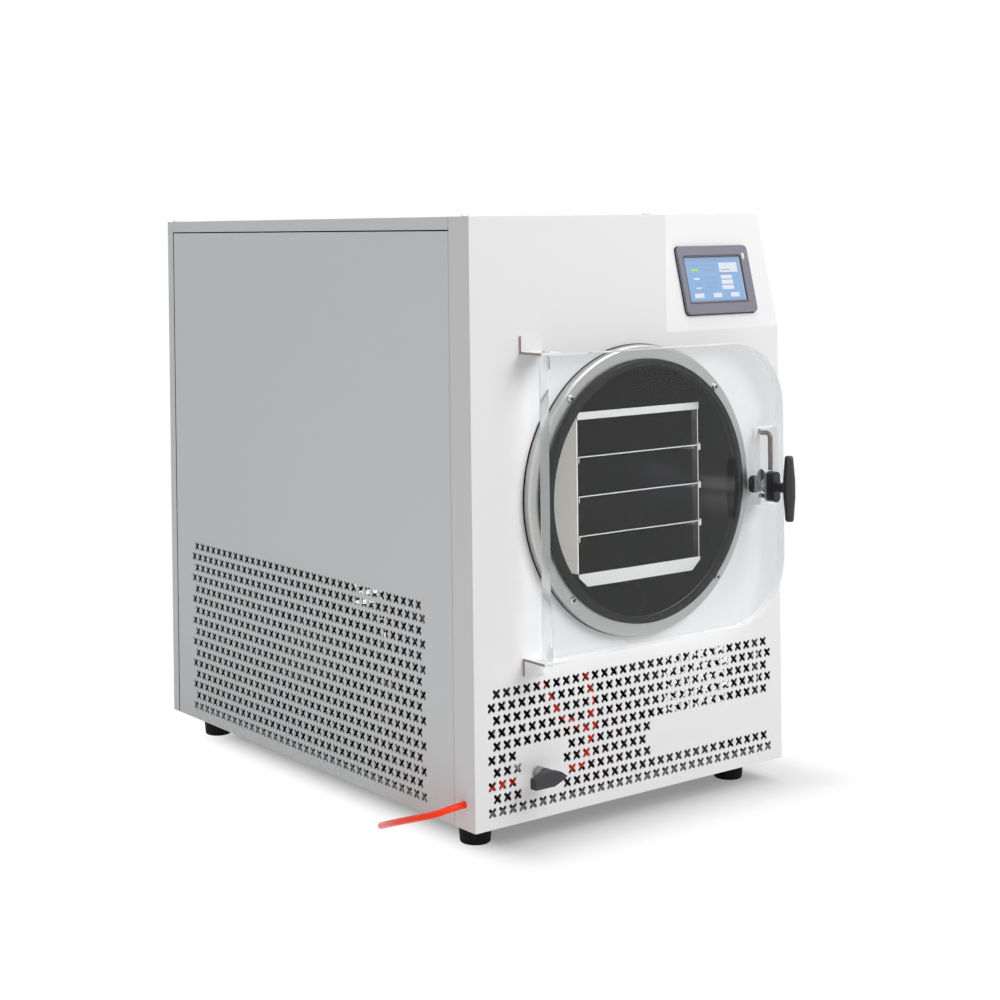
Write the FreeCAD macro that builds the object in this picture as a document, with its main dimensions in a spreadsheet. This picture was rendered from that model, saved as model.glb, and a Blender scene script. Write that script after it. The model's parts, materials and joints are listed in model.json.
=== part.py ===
"""Tabletop freeze dryer with a clear latch door, a vacuum chamber and a cooling unit.

Millimetres, +Z up. X runs to the right, Y to the back, and the origin lies on the table under
the middle of the machine. Every size that drives the model is a cell of the sheet "Sizes".
"""

import FreeCAD, Part
import math
import os
import Sketcher

SIZES = [
    ("width", 500, "cabinet, side to side"),
    ("depth", 703, "cabinet, front sheet to rear sheet"),
    ("tall", 700, "cabinet without its feet"),
    ("gauge", 1.5, "sheet metal"),
    ("foot_height", 30, "rubber feet, table to cabinet"),
    ("front_y", -325, "front sheet, so that handle and rear port balance about the origin"),
    ("front_strip", 38, "return flange of the front sheet"),
    ("rear_strip", 15, "return flange of the rear sheet"),
    ("cover_drop", 15, "side flange of the top cover"),
    ("facet_left", 305, "sloping corner for the control screen, left end"),
    ("facet_bottom", 556, "sloping corner, lower edge"),
    ("facet_setback", 35, "sloping corner, set back at the top"),
    ("ring_z", 369, "chamber axis above the cabinet's bottom"),
    ("mouth_radius", 150, "chamber, inside"),
    ("chamber_wall", 3, "chamber shell"),
    ("ring_radius", 175, "chamber flange, outside"),
    ("ring_proud", 11, "chamber flange, in front of the sheet"),
    ("chamber_length", 380, "chamber shell, straight part"),
    ("rack_width", 198, "tray rack"),
    ("rack_front", -2, "tray rack, front edge behind the sheet"),
    ("rack_depth", 296, "tray rack, front to back"),
    ("tray_pitch", 46.6, "from tray to tray"),
    ("vent_pitch_y", 45, "side vents, from opening to opening along the side"),
    ("vent_pitch_z", 48, "side vents, from opening to opening upwards"),
    ("vent_size", 29, "side vents, each square opening"),
    ("door_left", 81, "door, left edge"),
    ("door_width", 385, "door"),
    ("door_bottom", 190, "door, lower edge"),
    ("door_height", 350, "door"),
    ("door_gap", 20, "door's back face in front of the sheet"),
    ("door_thick", 20, "door plate"),
    ("door_corner", 83, "round corners on the latch side"),
    ("hinge_x", 86, "hinge pins"),
    ("hinge_y", 30, "hinge pins in front of the sheet"),
    ("pin_radius", 3, "hinge pins"),
    ("running", 0.05, "radial clearance of every running fit"),
    ("latch_x", 437, "latch shaft"),
    ("latch_z", 360, "latch shaft"),
    ("staple_x", 450, "latch staple"),
    ("valve_x", 92, "drain valve"),
    ("valve_z", 55, "drain valve"),
    ("drain_back", 62, "chamber drain, behind the front sheet"),
    ("hose_radius", 4, "drain hose"),
    ("fan_x", 390, "condenser fan"),
    ("fan_z", 112, "condenser fan"),
    ("fan_radius", 76, "condenser fan"),
]

doc = FreeCAD.newDocument("freeze_dryer")
sheet = doc.addObject("Spreadsheet::Sheet", "Sizes")
for row, (alias, value, note) in enumerate(SIZES, start=1):
    sheet.set(f"A{row}", note)
    sheet.set(f"B{row}", str(value))
    sheet.setAlias(f"B{row}", alias)
doc.recompute()

LEFT = "-Sizes.width / 2"
FRONT = "Sizes.front_y"
BASE = "Sizes.foot_height"
RING = "Sizes.foot_height + Sizes.ring_z"
PARTS = []


# ---------------------------------------------------------------- helpers

def number(expression):
    """Return what an expression of sheet cells is worth now."""
    return float(sheet.evalExpression(str(expression)))


def place(thing, x=LEFT, y=FRONT, z=BASE):
    """Bind a thing's position to the sheet. The default is the cabinet's front lower left corner."""
    thing.setExpression("Placement.Base.x", str(x))
    thing.setExpression("Placement.Base.y", str(y))
    thing.setExpression("Placement.Base.z", str(z))
    return thing


def keep(thing, label):
    """Name a finished sub-part, which is then written to a file of that name."""
    thing.Label = label
    PARTS.append(thing)
    return thing


def new_body(label, x=LEFT, y=FRONT, z=BASE, kept=True):
    """Start a PartDesign body for one sub-part, or for one member of a group."""
    body = doc.addObject("PartDesign::Body", label)
    place(body, x, y, z)
    return keep(body, label) if kept else body


def group(label, members):
    """Gather identical pieces, which stay separate solids, into one sub-part."""
    gathered = doc.addObject("Part::Compound", label)
    gathered.Links = members
    doc.recompute()
    return keep(gathered, label)


def new_sketch(body, name, role, offset="0"):
    """Put a sketch on one of the body's origin planes, moved along the plane's normal."""
    sketch = body.newObject("Sketcher::SketchObject", name)
    plane = [item for item in body.Origin.OriginFeatures if item.Role == role][0]
    sketch.AttachmentSupport = [(plane, "")]
    sketch.MapMode = "FlatFace"
    sketch.setExpression("AttachmentOffset.Base.z", str(offset))
    return sketch


def fix(sketch, kind, line, point, expression):
    """Bind one coordinate of a point to the sheet."""
    index = sketch.addConstraint(Sketcher.Constraint(kind, -1, 1, line, point, number(expression)))
    sketch.setExpression(f"Constraints[{index}]", str(expression))


def polygon(sketch, corners):
    """Draw a closed outline whose every corner is bound to the sheet."""
    spots = [FreeCAD.Vector(number(a), number(b), 0) for a, b in corners]
    count = len(spots)
    lines = []
    for here in range(count):
        edge = Part.LineSegment(spots[here], spots[(here + 1) % count])
        lines.append(sketch.addGeometry(edge, False))
    for here in range(count):
        following = lines[(here + 1) % count]
        sketch.addConstraint(Sketcher.Constraint("Coincident", lines[here], 2, following, 1))
    for line, (across, up) in zip(lines, corners):
        fix(sketch, "DistanceX", line, 1, across)
        fix(sketch, "DistanceY", line, 1, up)


def rectangle(sketch, across, up, wide, high):
    """Draw a rectangle from its lower left corner."""
    right = f"({across}) + ({wide})"
    top = f"({up}) + ({high})"
    polygon(sketch, [(across, up), (right, up), (right, top), (across, top)])


def circle(sketch, across, up, radius):
    """Draw a circle whose centre and radius are bound to the sheet."""
    centre = FreeCAD.Vector(number(across), number(up), 0)
    ring = Part.Circle(centre, FreeCAD.Vector(0, 0, 1), number(radius))
    index = sketch.addGeometry(ring, False)
    fix(sketch, "DistanceX", index, 3, across)
    fix(sketch, "DistanceY", index, 3, up)
    size = sketch.addConstraint(Sketcher.Constraint("Radius", index, number(radius)))
    sketch.setExpression(f"Constraints[{size}]", str(radius))


def pad(body, sketch, length, towards_back=False, both_ways=False):
    """Thicken a sketch. On XZ sketches the plain way is to the front."""
    feature = body.newObject("PartDesign::Pad", "pad")
    feature.Profile = sketch
    feature.setExpression("Length", str(length))
    feature.Reversed = towards_back
    feature.Midplane = both_ways
    doc.recompute()
    return feature


def pocket(body, sketch, length, turned=False):
    """Cut a sketch away, and turn the cut round when it points out of the solid."""
    before = body.Shape.Volume
    feature = body.newObject("PartDesign::Pocket", "pocket")
    feature.Profile = sketch
    feature.setExpression("Length", str(length))
    feature.Reversed = turned
    doc.recompute()
    if before - body.Shape.Volume < 1:
        raise RuntimeError(f"{body.Label}: {sketch.Label} cuts nothing")
    return feature


def turn(body, sketch):
    """Revolve a sketch of (radius, length) about its own upright axis."""
    feature = body.newObject("PartDesign::Revolution", "turning")
    feature.Profile = sketch
    feature.ReferenceAxis = (sketch, ["V_Axis"])
    feature.Angle = 360
    doc.recompute()
    return feature


def face_names(shape, tests):
    """Find the planar faces whose outward direction is one of the given ones and lie outermost."""
    names = []
    for direction in tests:
        reach = [face.CenterOfMass.dot(direction) for face in shape.Faces]
        names.append(f"Face{reach.index(max(reach)) + 1}")
    return names


def fold_sheet(body, solid, open_sides):
    """Turn a padded block into bent sheet of the sheet gauge, open on the given sides."""
    feature = body.newObject("PartDesign::Thickness", "bent_sheet")
    feature.Base = (solid, face_names(solid.Shape, open_sides))
    feature.setExpression("Value", "Sizes.gauge")
    feature.Mode = 0
    feature.Reversed = True
    doc.recompute()
    return feature


def turned_part(label, profile, x, y, z, plane="XY_Plane", kept=True):
    """Make a body by revolving a profile: about Y on the XY plane, about Z on the XZ plane."""
    body = new_body(label, x, y, z, kept)
    sketch = new_sketch(body, f"{label}_profile", plane)
    polygon(sketch, profile)
    turn(body, sketch)
    return body


def block(label, corner, size):
    """Make a plain box from its lower left front corner in the cabinet's own coordinates."""
    box = doc.addObject("Part::Box", label)
    for axis, length in zip(("Length", "Width", "Height"), size):
        box.setExpression(axis, str(length))
    across, back, up = corner
    place(box, f"{LEFT} + {across}", f"{FRONT} + {back}", f"{BASE} + {up}")
    return box


def bent_tube(label, spots, radius, bend=0.0, kept=True):
    """Sweep a round tube along straight runs joined by tangent arcs.

    Each arc is as large as its two runs allow unless a bend radius is given.
    """
    corner = FreeCAD.Vector(number(LEFT), number(FRONT), number(BASE))
    points = [FreeCAD.Vector(*spot) + corner for spot in spots]
    edges = []
    start = points[0]
    for before, here, after in zip(points, points[1:], points[2:]):
        way_in = (here - before).normalize()
        way_out = (after - here).normalize()
        half_turn = way_in.getAngle(way_out) / 2
        shorter = min((here - before).Length, (after - here).Length)
        radius_here = bend or 0.45 * shorter / math.tan(half_turn)
        trim = radius_here * math.tan(half_turn)
        enter = here - way_in * trim
        leave = here + way_out * trim
        to_centre = (way_out - way_in).normalize()
        middle = here + to_centre * (radius_here / math.cos(half_turn) - radius_here)
        edges.append(Part.LineSegment(start, enter).toShape())
        edges.append(Part.Arc(enter, middle, leave).toShape())
        print(f"{label}: bend radius {radius_here:.1f}")
        start = leave
    edges.append(Part.LineSegment(start, points[-1]).toShape())
    path = Part.Wire(edges)
    direction = points[1] - points[0]
    ring = Part.Wire([Part.makeCircle(radius, points[0], direction)])
    shape = path.makePipeShell([ring], True, False)
    if abs(shape.Volume / (math.pi * radius ** 2 * path.Length) - 1) > 0.01:
        raise RuntimeError(f"{label}: its volume doesn't match its length")
    print(f"{label}: length {path.Length:.1f}")
    tube = doc.addObject("Part::Feature", label)
    tube.Shape = shape.removeSplitter()
    return keep(tube, label) if kept else tube


# ---------------------------------------------------------------- cabinet

FORWARD = FreeCAD.Vector(0, -1, 0)
BACKWARD = FreeCAD.Vector(0, 1, 0)
DOWN = FreeCAD.Vector(0, 0, -1)
UP = FreeCAD.Vector(0, 0, 1)


def front_panel():
    """Bent front sheet with the sloping corner, the chamber's hole and the screen's cut-out."""
    body = new_body("front_panel")
    outline = new_sketch(body, "front_outline", "XZ_Plane")
    rectangle(outline, 0, 0, "Sizes.width", "Sizes.tall")
    pad(body, outline, "Sizes.front_strip", towards_back=True)

    slope = new_sketch(body, "sloping_corner", "YZ_Plane", "Sizes.facet_left")
    above = "Sizes.tall + 1"
    polygon(slope, [(-1, "Sizes.facet_bottom"), (0, "Sizes.facet_bottom"),
                    ("Sizes.facet_setback", "Sizes.tall"), ("Sizes.facet_setback", above),
                    (-1, above)])
    cut = pocket(body, slope, "Sizes.width - Sizes.facet_left", turned=True)
    fold_sheet(body, cut, [BACKWARD, DOWN])

    mouth = new_sketch(body, "chamber_hole", "XZ_Plane")
    circle(mouth, "Sizes.width / 2", "Sizes.ring_z", "Sizes.mouth_radius + Sizes.chamber_wall + 9")
    pocket(body, mouth, "Sizes.gauge + 1")

    screen = new_sketch(body, "screen_cut_out", "XZ_Plane")
    rectangle(screen, 349, 583, 110, 70)
    pocket(body, screen, "Sizes.front_strip - 2")

    valve = new_sketch(body, "valve_hole", "XZ_Plane")
    circle(valve, "Sizes.valve_x", "Sizes.valve_z", 5.7)
    pocket(body, valve, "Sizes.gauge + 1")

    hose = new_sketch(body, "hose_hole", "YZ_Plane")
    circle(hose, 20, 29, "Sizes.hose_radius + 0.3")
    pocket(body, hose, "Sizes.gauge + 1", turned=True)
    return body


def side_panel(label, x, inward):
    """Side sheet with a return flange at each end, notched for the base pan."""
    body = new_body(label, x=x)
    profile = new_sketch(body, f"{label}_section", "XY_Plane")
    near = "Sizes.front_strip"
    far = "Sizes.depth - Sizes.rear_strip"
    lip = f"{inward} * 12"
    skin = f"{inward} * Sizes.gauge"
    polygon(profile, [(0, near), (lip, near), (lip, f"{near} + Sizes.gauge"),
                      (skin, f"{near} + Sizes.gauge"), (skin, f"{far} - Sizes.gauge"),
                      (lip, f"{far} - Sizes.gauge"), (lip, far), (0, far)])
    pad(body, profile, "Sizes.tall - Sizes.cover_drop")
    notch = new_sketch(body, f"{label}_notch", "YZ_Plane", skin)
    rectangle(notch, f"{near} - 1", -1, f"{far} - ({near}) + 2", 23)
    pocket(body, notch, 20, turned=inward > 0)

    vent = new_sketch(body, f"{label}_vent", "YZ_Plane", f"-{inward}")
    rectangle(vent, "97.5 + (Sizes.vent_pitch_y - Sizes.vent_size) / 2",
              "11.5 + (Sizes.vent_pitch_z - Sizes.vent_size) / 2", "Sizes.vent_size", "Sizes.vent_size")
    first = pocket(body, vent, "Sizes.gauge + 2", turned=inward > 0)
    along = body.newObject("PartDesign::LinearPattern", "vents_along")
    along.Direction = (vent, ["H_Axis"])
    along.setExpression("Length", "11 * Sizes.vent_pitch_y")
    along.Occurrences = 12
    upwards = body.newObject("PartDesign::LinearPattern", "vents_upwards")
    upwards.Direction = (vent, ["V_Axis"])
    upwards.setExpression("Length", "4 * Sizes.vent_pitch_z")
    upwards.Occurrences = 5
    vents = body.newObject("PartDesign::MultiTransform", "vents")
    vents.Originals = [first]
    vents.Transformations = [along, upwards]
    body.Tip = vents
    doc.recompute()
    return body


def top_cover():
    """Top sheet whose side flanges hang over the side sheets' upper edges."""
    body = new_body("top_cover", y=f"{FRONT} + Sizes.front_strip")
    section = new_sketch(body, "cover_section", "XZ_Plane")
    low = "Sizes.tall - Sizes.cover_drop"
    under = "Sizes.tall - Sizes.gauge"
    inner = "Sizes.width - Sizes.gauge"
    polygon(section, [(0, low), (0, "Sizes.tall"), ("Sizes.width", "Sizes.tall"),
                      ("Sizes.width", low), (inner, low), (inner, under),
                      ("Sizes.gauge", under), ("Sizes.gauge", low)])
    pad(body, section, "Sizes.depth - Sizes.front_strip - Sizes.rear_strip", towards_back=True)
    return body


def rear_panel():
    """Bent rear sheet with the fan's slots and the holes for the port and the mains pieces."""
    body = new_body("rear_panel", y=f"{FRONT} + Sizes.depth - Sizes.rear_strip")
    outline = new_sketch(body, "rear_outline", "XZ_Plane")
    rectangle(outline, 0, 0, "Sizes.width", "Sizes.tall")
    block_feature = pad(body, outline, "Sizes.rear_strip", towards_back=True)
    fold_sheet(body, block_feature, [FORWARD, DOWN])

    port = new_sketch(body, "port_hole", "XZ_Plane")
    circle(port, "Sizes.width / 2", "Sizes.ring_z", 14.2)
    pocket(body, port, "Sizes.rear_strip + 1")

    inlet = new_sketch(body, "inlet_cut_out", "XZ_Plane")
    rectangle(inlet, 60, 60, 28, 48)
    pocket(body, inlet, "Sizes.rear_strip + 1")

    switch = new_sketch(body, "switch_cut_out", "XZ_Plane")
    rectangle(switch, 60, 130, 28, 20)
    pocket(body, switch, "Sizes.rear_strip + 1")

    slot = new_sketch(body, "fan_slot", "XZ_Plane")
    rectangle(slot, "Sizes.fan_x - 75", "Sizes.fan_z - 73", 150, 7)
    first = pocket(body, slot, "Sizes.rear_strip + 1")
    pattern = body.newObject("PartDesign::LinearPattern", "fan_slots")
    pattern.Originals = [first]
    pattern.Direction = (slot, ["V_Axis"])
    pattern.Length = 140
    pattern.Occurrences = 11
    body.Tip = pattern
    doc.recompute()
    return body


def base_pan():
    """Floor pan between the front, side and rear sheets."""
    body = new_body("base_pan")
    outline = new_sketch(body, "pan_outline", "XY_Plane")
    rectangle(outline, "Sizes.gauge", "Sizes.gauge", "Sizes.width - 2 * Sizes.gauge",
              "Sizes.depth - 2 * Sizes.gauge")
    solid = pad(body, outline, 20)
    fold_sheet(body, solid, [UP])
    return body


def feet():
    """Four tapered rubber feet."""
    cones = []
    for across, back in ((42, 55), (458, 55), (42, 650), (458, 650)):
        foot = doc.addObject("Part::Cone", "foot")
        foot.Radius1 = 18
        foot.Radius2 = 20.5
        foot.setExpression("Height", BASE)
        cones.append(place(foot, f"{LEFT} + {across}", f"{FRONT} + {back}", 0))
    group("rubber_feet", cones)


def dome_screws(label, spots, direction, radius, height):
    """Button-head screws, as separate solids in one sub-part."""
    heads = []
    for spot in spots:
        base = Part.makeCylinder(radius, height * 0.4, spot, direction)
        top = spot + direction * (height * 0.4)
        heads.append(base.fuse(Part.makeCone(radius, radius * 0.55, height * 0.6, top, direction)))
    group = doc.addObject("Part::Feature", label)
    group.Shape = Part.makeCompound([head.removeSplitter() for head in heads])
    return keep(group, label)


def cover_screws():
    """Two screws in the front sheet's top flange and two in the rear sheet's."""
    top = number("Sizes.tall + Sizes.foot_height")
    left, front = number(LEFT), number(FRONT)
    spots = [FreeCAD.Vector(left + across, front + back, top)
             for across, back in ((10, 19), (290, 19), (10, 696), (490, 696))]
    return dome_screws("cover_screws", spots, UP, 4.5, 3.0)


# ---------------------------------------------------------------- chamber

def chamber():
    """Vacuum chamber: shell, dished end, front flange, door gasket, coil and insulation."""
    inside = "Sizes.mouth_radius"
    outside = "Sizes.mouth_radius + Sizes.chamber_wall"
    front = "-Sizes.ring_proud - 1"
    straight = "Sizes.chamber_length"
    turned_part("chamber_shell", [(inside, front), (outside, front), (outside, straight),
                                  (inside, straight)], 0, FRONT, RING)
    turned_part("chamber_end", [
        (outside, straight), (f"({outside}) * 0.86", f"{straight} + 20"),
        (f"({outside}) * 0.55", f"{straight} + 32"), (14, f"{straight} + 36"),
        (14, f"{straight} + 33"), (f"({inside}) * 0.55", f"{straight} + 29"),
        (f"({inside}) * 0.86", f"{straight} + 17"), (inside, straight)], 0, FRONT, RING)

    lip = "Sizes.ring_radius - 17"
    turned_part("chamber_flange", [
        (outside, -3), (lip, -3), (lip, "-Sizes.ring_proud"), ("Sizes.ring_radius - 2", "-Sizes.ring_proud"),
        ("Sizes.ring_radius", "-Sizes.ring_proud + 2"), ("Sizes.ring_radius", 0), (outside, 0)],
        0, FRONT, RING)

    nose = "0.5 - Sizes.door_gap"
    turned_part("door_gasket", [
        (inside, nose), (f"{lip} - 1.5", nose), (lip, f"{nose} + 1.5"), (lip, -3), (outside, -3),
        (outside, front), (inside, front)], 0, FRONT, RING)

    coil = [(outside, 75), (outside, 350)]
    for turn_number in range(5, 0, -1):
        back = 75 + turn_number * 55
        coil += [(f"{outside} + 1", back), (f"{outside} + 8", back - 13), (f"{outside} + 8", back - 40),
                 (f"{outside} + 1", back - 53)]
    turned_part("evaporator_coil", coil, 0, FRONT, RING)

    turned_part("chamber_insulation", [
        ("Sizes.ring_radius - 10", "Sizes.gauge"), ("Sizes.ring_radius + 15", "Sizes.gauge"),
        ("Sizes.ring_radius + 15", f"{straight} + 30"), ("Sizes.ring_radius - 10", f"{straight} + 55"),
        (14, f"{straight} + 55"), (14, f"{straight} + 38"),
        ("Sizes.ring_radius - 25", f"{straight} + 38"), ("Sizes.ring_radius - 10", f"{straight} + 20")],
        0, FRONT, RING)

    outlet = new_sketch(PARTS[-1], "drain_way", "XY_Plane", "-Sizes.ring_radius - 20")
    circle(outlet, 0, "Sizes.drain_back", 5.2)
    pocket(PARTS[-1], outlet, 40, turned=True)
    turned_part("chamber_drain", [(0, f"-({outside}) - 0.1"), (5, f"-({outside}) - 0.1"), (5, -196), (0, -196)],
                0, f"{FRONT} + Sizes.drain_back", RING, "XZ_Plane")

    spread = number("Sizes.ring_radius - 9") / math.sqrt(2)
    seat = number("Sizes.front_y - Sizes.ring_proud")
    axis = number(RING)
    spots = [FreeCAD.Vector(side * spread, seat, axis + rise * spread)
             for side in (-1, 1) for rise in (-1, 1)]
    dome_screws("flange_screws", spots, FORWARD, 4.5, 3.5)


def rack():
    """Tray rack: top and bottom plates, left plate, right uprights, two runners, three trays."""
    half = "Sizes.rack_width / 2"
    front = "Sizes.rack_front"
    back = "Sizes.rack_front + Sizes.rack_depth"
    top = 99.5
    floor = -91

    body = new_body("rack_top_plate", 0, FRONT, RING)
    section = new_sketch(body, "top_section", "YZ_Plane")
    polygon(section, [(front, top - 9), (front, top), (back, top), (back, f"{top} - Sizes.gauge"),
                      (f"{front} + Sizes.gauge", f"{top} - Sizes.gauge"),
                      (f"{front} + Sizes.gauge", top - 9)])
    pad(body, section, "Sizes.rack_width", both_ways=True)

    body = new_body("rack_bottom_plate", 0, FRONT, RING)
    section = new_sketch(body, "bottom_section", "YZ_Plane")
    polygon(section, [(front, floor - 16), (front, floor), (back, floor), (back, f"{floor} - Sizes.gauge"),
                      (f"{front} + Sizes.gauge", f"{floor} - Sizes.gauge"),
                      (f"{front} + Sizes.gauge", floor - 16)])
    pad(body, section, "Sizes.rack_width", both_ways=True)
    for name, side in (("left_corner", -1), ("right_corner", 1)):
        corner = new_sketch(body, name, "XZ_Plane", f"1 - {front}")
        polygon(corner, [(f"{side} * ({half} + 1)", floor - 3), (f"{side} * ({half} + 1)", floor - 17),
                         (f"{side} * ({half} - 15)", floor - 17)])
        pocket(body, corner, "Sizes.gauge + 2")

    for index, rise in enumerate(("Sizes.tray_pitch", "0", "-Sizes.tray_pitch"), start=1):
        body = new_body(f"tray_{index}", 0, f"{FRONT} + Sizes.rack_front", f"{RING} + 0.7 + {rise}")
        section = new_sketch(body, f"tray_{index}_section", "XZ_Plane")
        edge = f"{half} - Sizes.gauge"
        inner = f"{half} - 2 * Sizes.gauge"
        polygon(section, [(f"-({edge})", 0), (edge, 0), (edge, -8), (inner, -8),
                          (inner, "-Sizes.gauge"), (f"-({inner})", "-Sizes.gauge"),
                          (f"-({inner})", -8), (f"-({edge})", -8)])
        pad(body, section, "Sizes.rack_depth", towards_back=True)

    left = f"Sizes.width / 2 - {half}"
    right = f"Sizes.width / 2 + {half} - Sizes.gauge"
    low = f"Sizes.ring_z + {floor}"
    high = f"{top} - ({floor}) - Sizes.gauge"
    keep(block("rack_left_plate", (left, f"{front} + Sizes.gauge", low),
               ("Sizes.gauge", "Sizes.rack_depth - Sizes.gauge", high)), "rack_left_plate")
    uprights = [block("upright", (right, place_y, low), ("Sizes.gauge", 10, high))
                for place_y in (f"{front} + Sizes.gauge", f"{back} - 10")]
    group("rack_uprights", uprights)
    bottom = "-sqrt(Sizes.mouth_radius * Sizes.mouth_radius - 62 * 62)"
    runners = [block("runner", (f"Sizes.width / 2 + {across}", f"{front} + 70", f"Sizes.ring_z + {bottom}"),
                     (4, "Sizes.rack_depth - 90", f"{floor} - Sizes.gauge - ({bottom})"))
               for across in ("-62", "58")]
    group("rack_runners", runners)


# ---------------------------------------------------------------- door and latch

def door():
    """Clear door plate with round latch-side corners, a staple pocket and hinge holes."""
    body = new_body("door_plate")
    near = "Sizes.door_gap"
    outline = new_sketch(body, "door_outline", "XZ_Plane", near)
    rectangle(outline, "Sizes.door_left", "Sizes.door_bottom", "Sizes.door_width", "Sizes.door_height")
    plate = pad(body, outline, "Sizes.door_thick")

    right = number("Sizes.door_left + Sizes.door_width")
    upright_edges = []
    for index, edge in enumerate(plate.Shape.Edges, start=1):
        centre = edge.CenterOfMass
        along_y = abs(edge.tangentAt(edge.FirstParameter).y) > 0.9
        if along_y and abs(centre.x - right) < 0.1:
            upright_edges.append(f"Edge{index}")
    corners = body.newObject("PartDesign::Fillet", "round_corners")
    corners.Base = (plate, upright_edges)
    corners.setExpression("Radius", "Sizes.door_corner")
    doc.recompute()

    heel = new_sketch(body, "hinge_side_bevel", "XY_Plane", "Sizes.door_bottom - 1")
    edge = "Sizes.door_left"
    polygon(heel, [(f"{edge} - 1", f"1 - {near}"), (f"{edge} + 4", f"1 - {near}"),
                   (f"{edge} + 4", f"-{near}"), (edge, f"-{near} - 4"), (f"{edge} - 1", f"-{near} - 4")])
    pocket(body, heel, "Sizes.door_height + 2", turned=True)

    recess = new_sketch(body, "staple_pocket", "XZ_Plane", near)
    rectangle(recess, 427, 336, 33, 97)
    pocket(body, recess, "Sizes.door_thick - 4", turned=True)

    bush = new_sketch(body, "bush_hole", "XZ_Plane", near)
    circle(bush, "Sizes.latch_x", "Sizes.latch_z", 7)
    pocket(body, bush, "Sizes.door_thick + 1", turned=True)

    for name, height in (("upper_pin_hole", "Sizes.door_bottom + Sizes.door_height - 16"),
                         ("lower_pin_hole", "Sizes.door_bottom - 1")):
        hole = new_sketch(body, name, "XY_Plane", height)
        circle(hole, "Sizes.hinge_x", "-Sizes.hinge_y", "Sizes.pin_radius + Sizes.running")
        pocket(body, hole, 17, turned=True)
    return body


def hinges():
    """Two angle brackets on the front sheet, each with the pin that carries the door."""
    height = "Sizes.door_height"
    bottom = "Sizes.door_bottom"
    brackets = []
    pins = []
    for name, seat, way in (("upper", f"{bottom} + {height} + 0.5", 1), ("lower", f"{bottom} - 0.5", -1)):
        body = new_body(f"{name}_bracket", kept=False)
        section = new_sketch(body, f"{name}_angle", "YZ_Plane", "Sizes.hinge_x - 14")
        reach = "-Sizes.hinge_y - 9"
        polygon(section, [(0, seat), (reach, seat), (reach, f"{seat} + {3 * way}"),
                          (-3, f"{seat} + {3 * way}"), (-3, f"{seat} + {21 * way}"),
                          (0, f"{seat} + {21 * way}")])
        pad(body, section, 32)
        hole = new_sketch(body, f"{name}_hole", "XY_Plane", f"{seat} - 4")
        circle(hole, "Sizes.hinge_x", "-Sizes.hinge_y", "Sizes.pin_radius")
        pocket(body, hole, 8, turned=True)
        brackets.append(body)

        profile = [(0, -15.5 * way), ("Sizes.pin_radius", -15.5 * way), ("Sizes.pin_radius", 3 * way),
                   (4.5, 3 * way), (4.5, 5.5 * way), (0, 5.5 * way)]
        pins.append(turned_part(f"{name}_pin", profile, f"{LEFT} + Sizes.hinge_x", f"{FRONT} - Sizes.hinge_y",
                                f"{BASE} + {seat}", "XZ_Plane", kept=False))
    group("hinge_brackets", brackets)
    group("hinge_pins", pins)


def oblong(sketch, half_wide, low, high):
    """Draw an upright slot shape about the sketch's origin."""
    across = number(half_wide)
    top = FreeCAD.Vector(0, number(high) - across, 0)
    bottom = FreeCAD.Vector(0, number(low) + across, 0)
    side = FreeCAD.Vector(across, 0, 0)
    crown = FreeCAD.Vector(0, across, 0)
    right = sketch.addGeometry(Part.LineSegment(bottom + side, top + side), False)
    over = sketch.addGeometry(Part.Arc(top + side, top + crown, top - side), False)
    left = sketch.addGeometry(Part.LineSegment(top - side, bottom - side), False)
    under = sketch.addGeometry(Part.Arc(bottom - side, bottom - crown, bottom + side), False)
    for one, end, other, start in ((right, 2, over, 1), (over, 2, left, 1), (left, 2, under, 1),
                                   (under, 2, right, 1)):
        sketch.addConstraint(Sketcher.Constraint("Tangent", one, end, other, start))
    fix(sketch, "DistanceY", over, 3, f"{high} - ({half_wide})")
    fix(sketch, "DistanceX", over, 3, 0)
    fix(sketch, "DistanceY", under, 3, f"{low} + ({half_wide})")
    size = sketch.addConstraint(Sketcher.Constraint("Radius", over, across))
    sketch.setExpression(f"Constraints[{size}]", str(half_wide))


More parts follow.
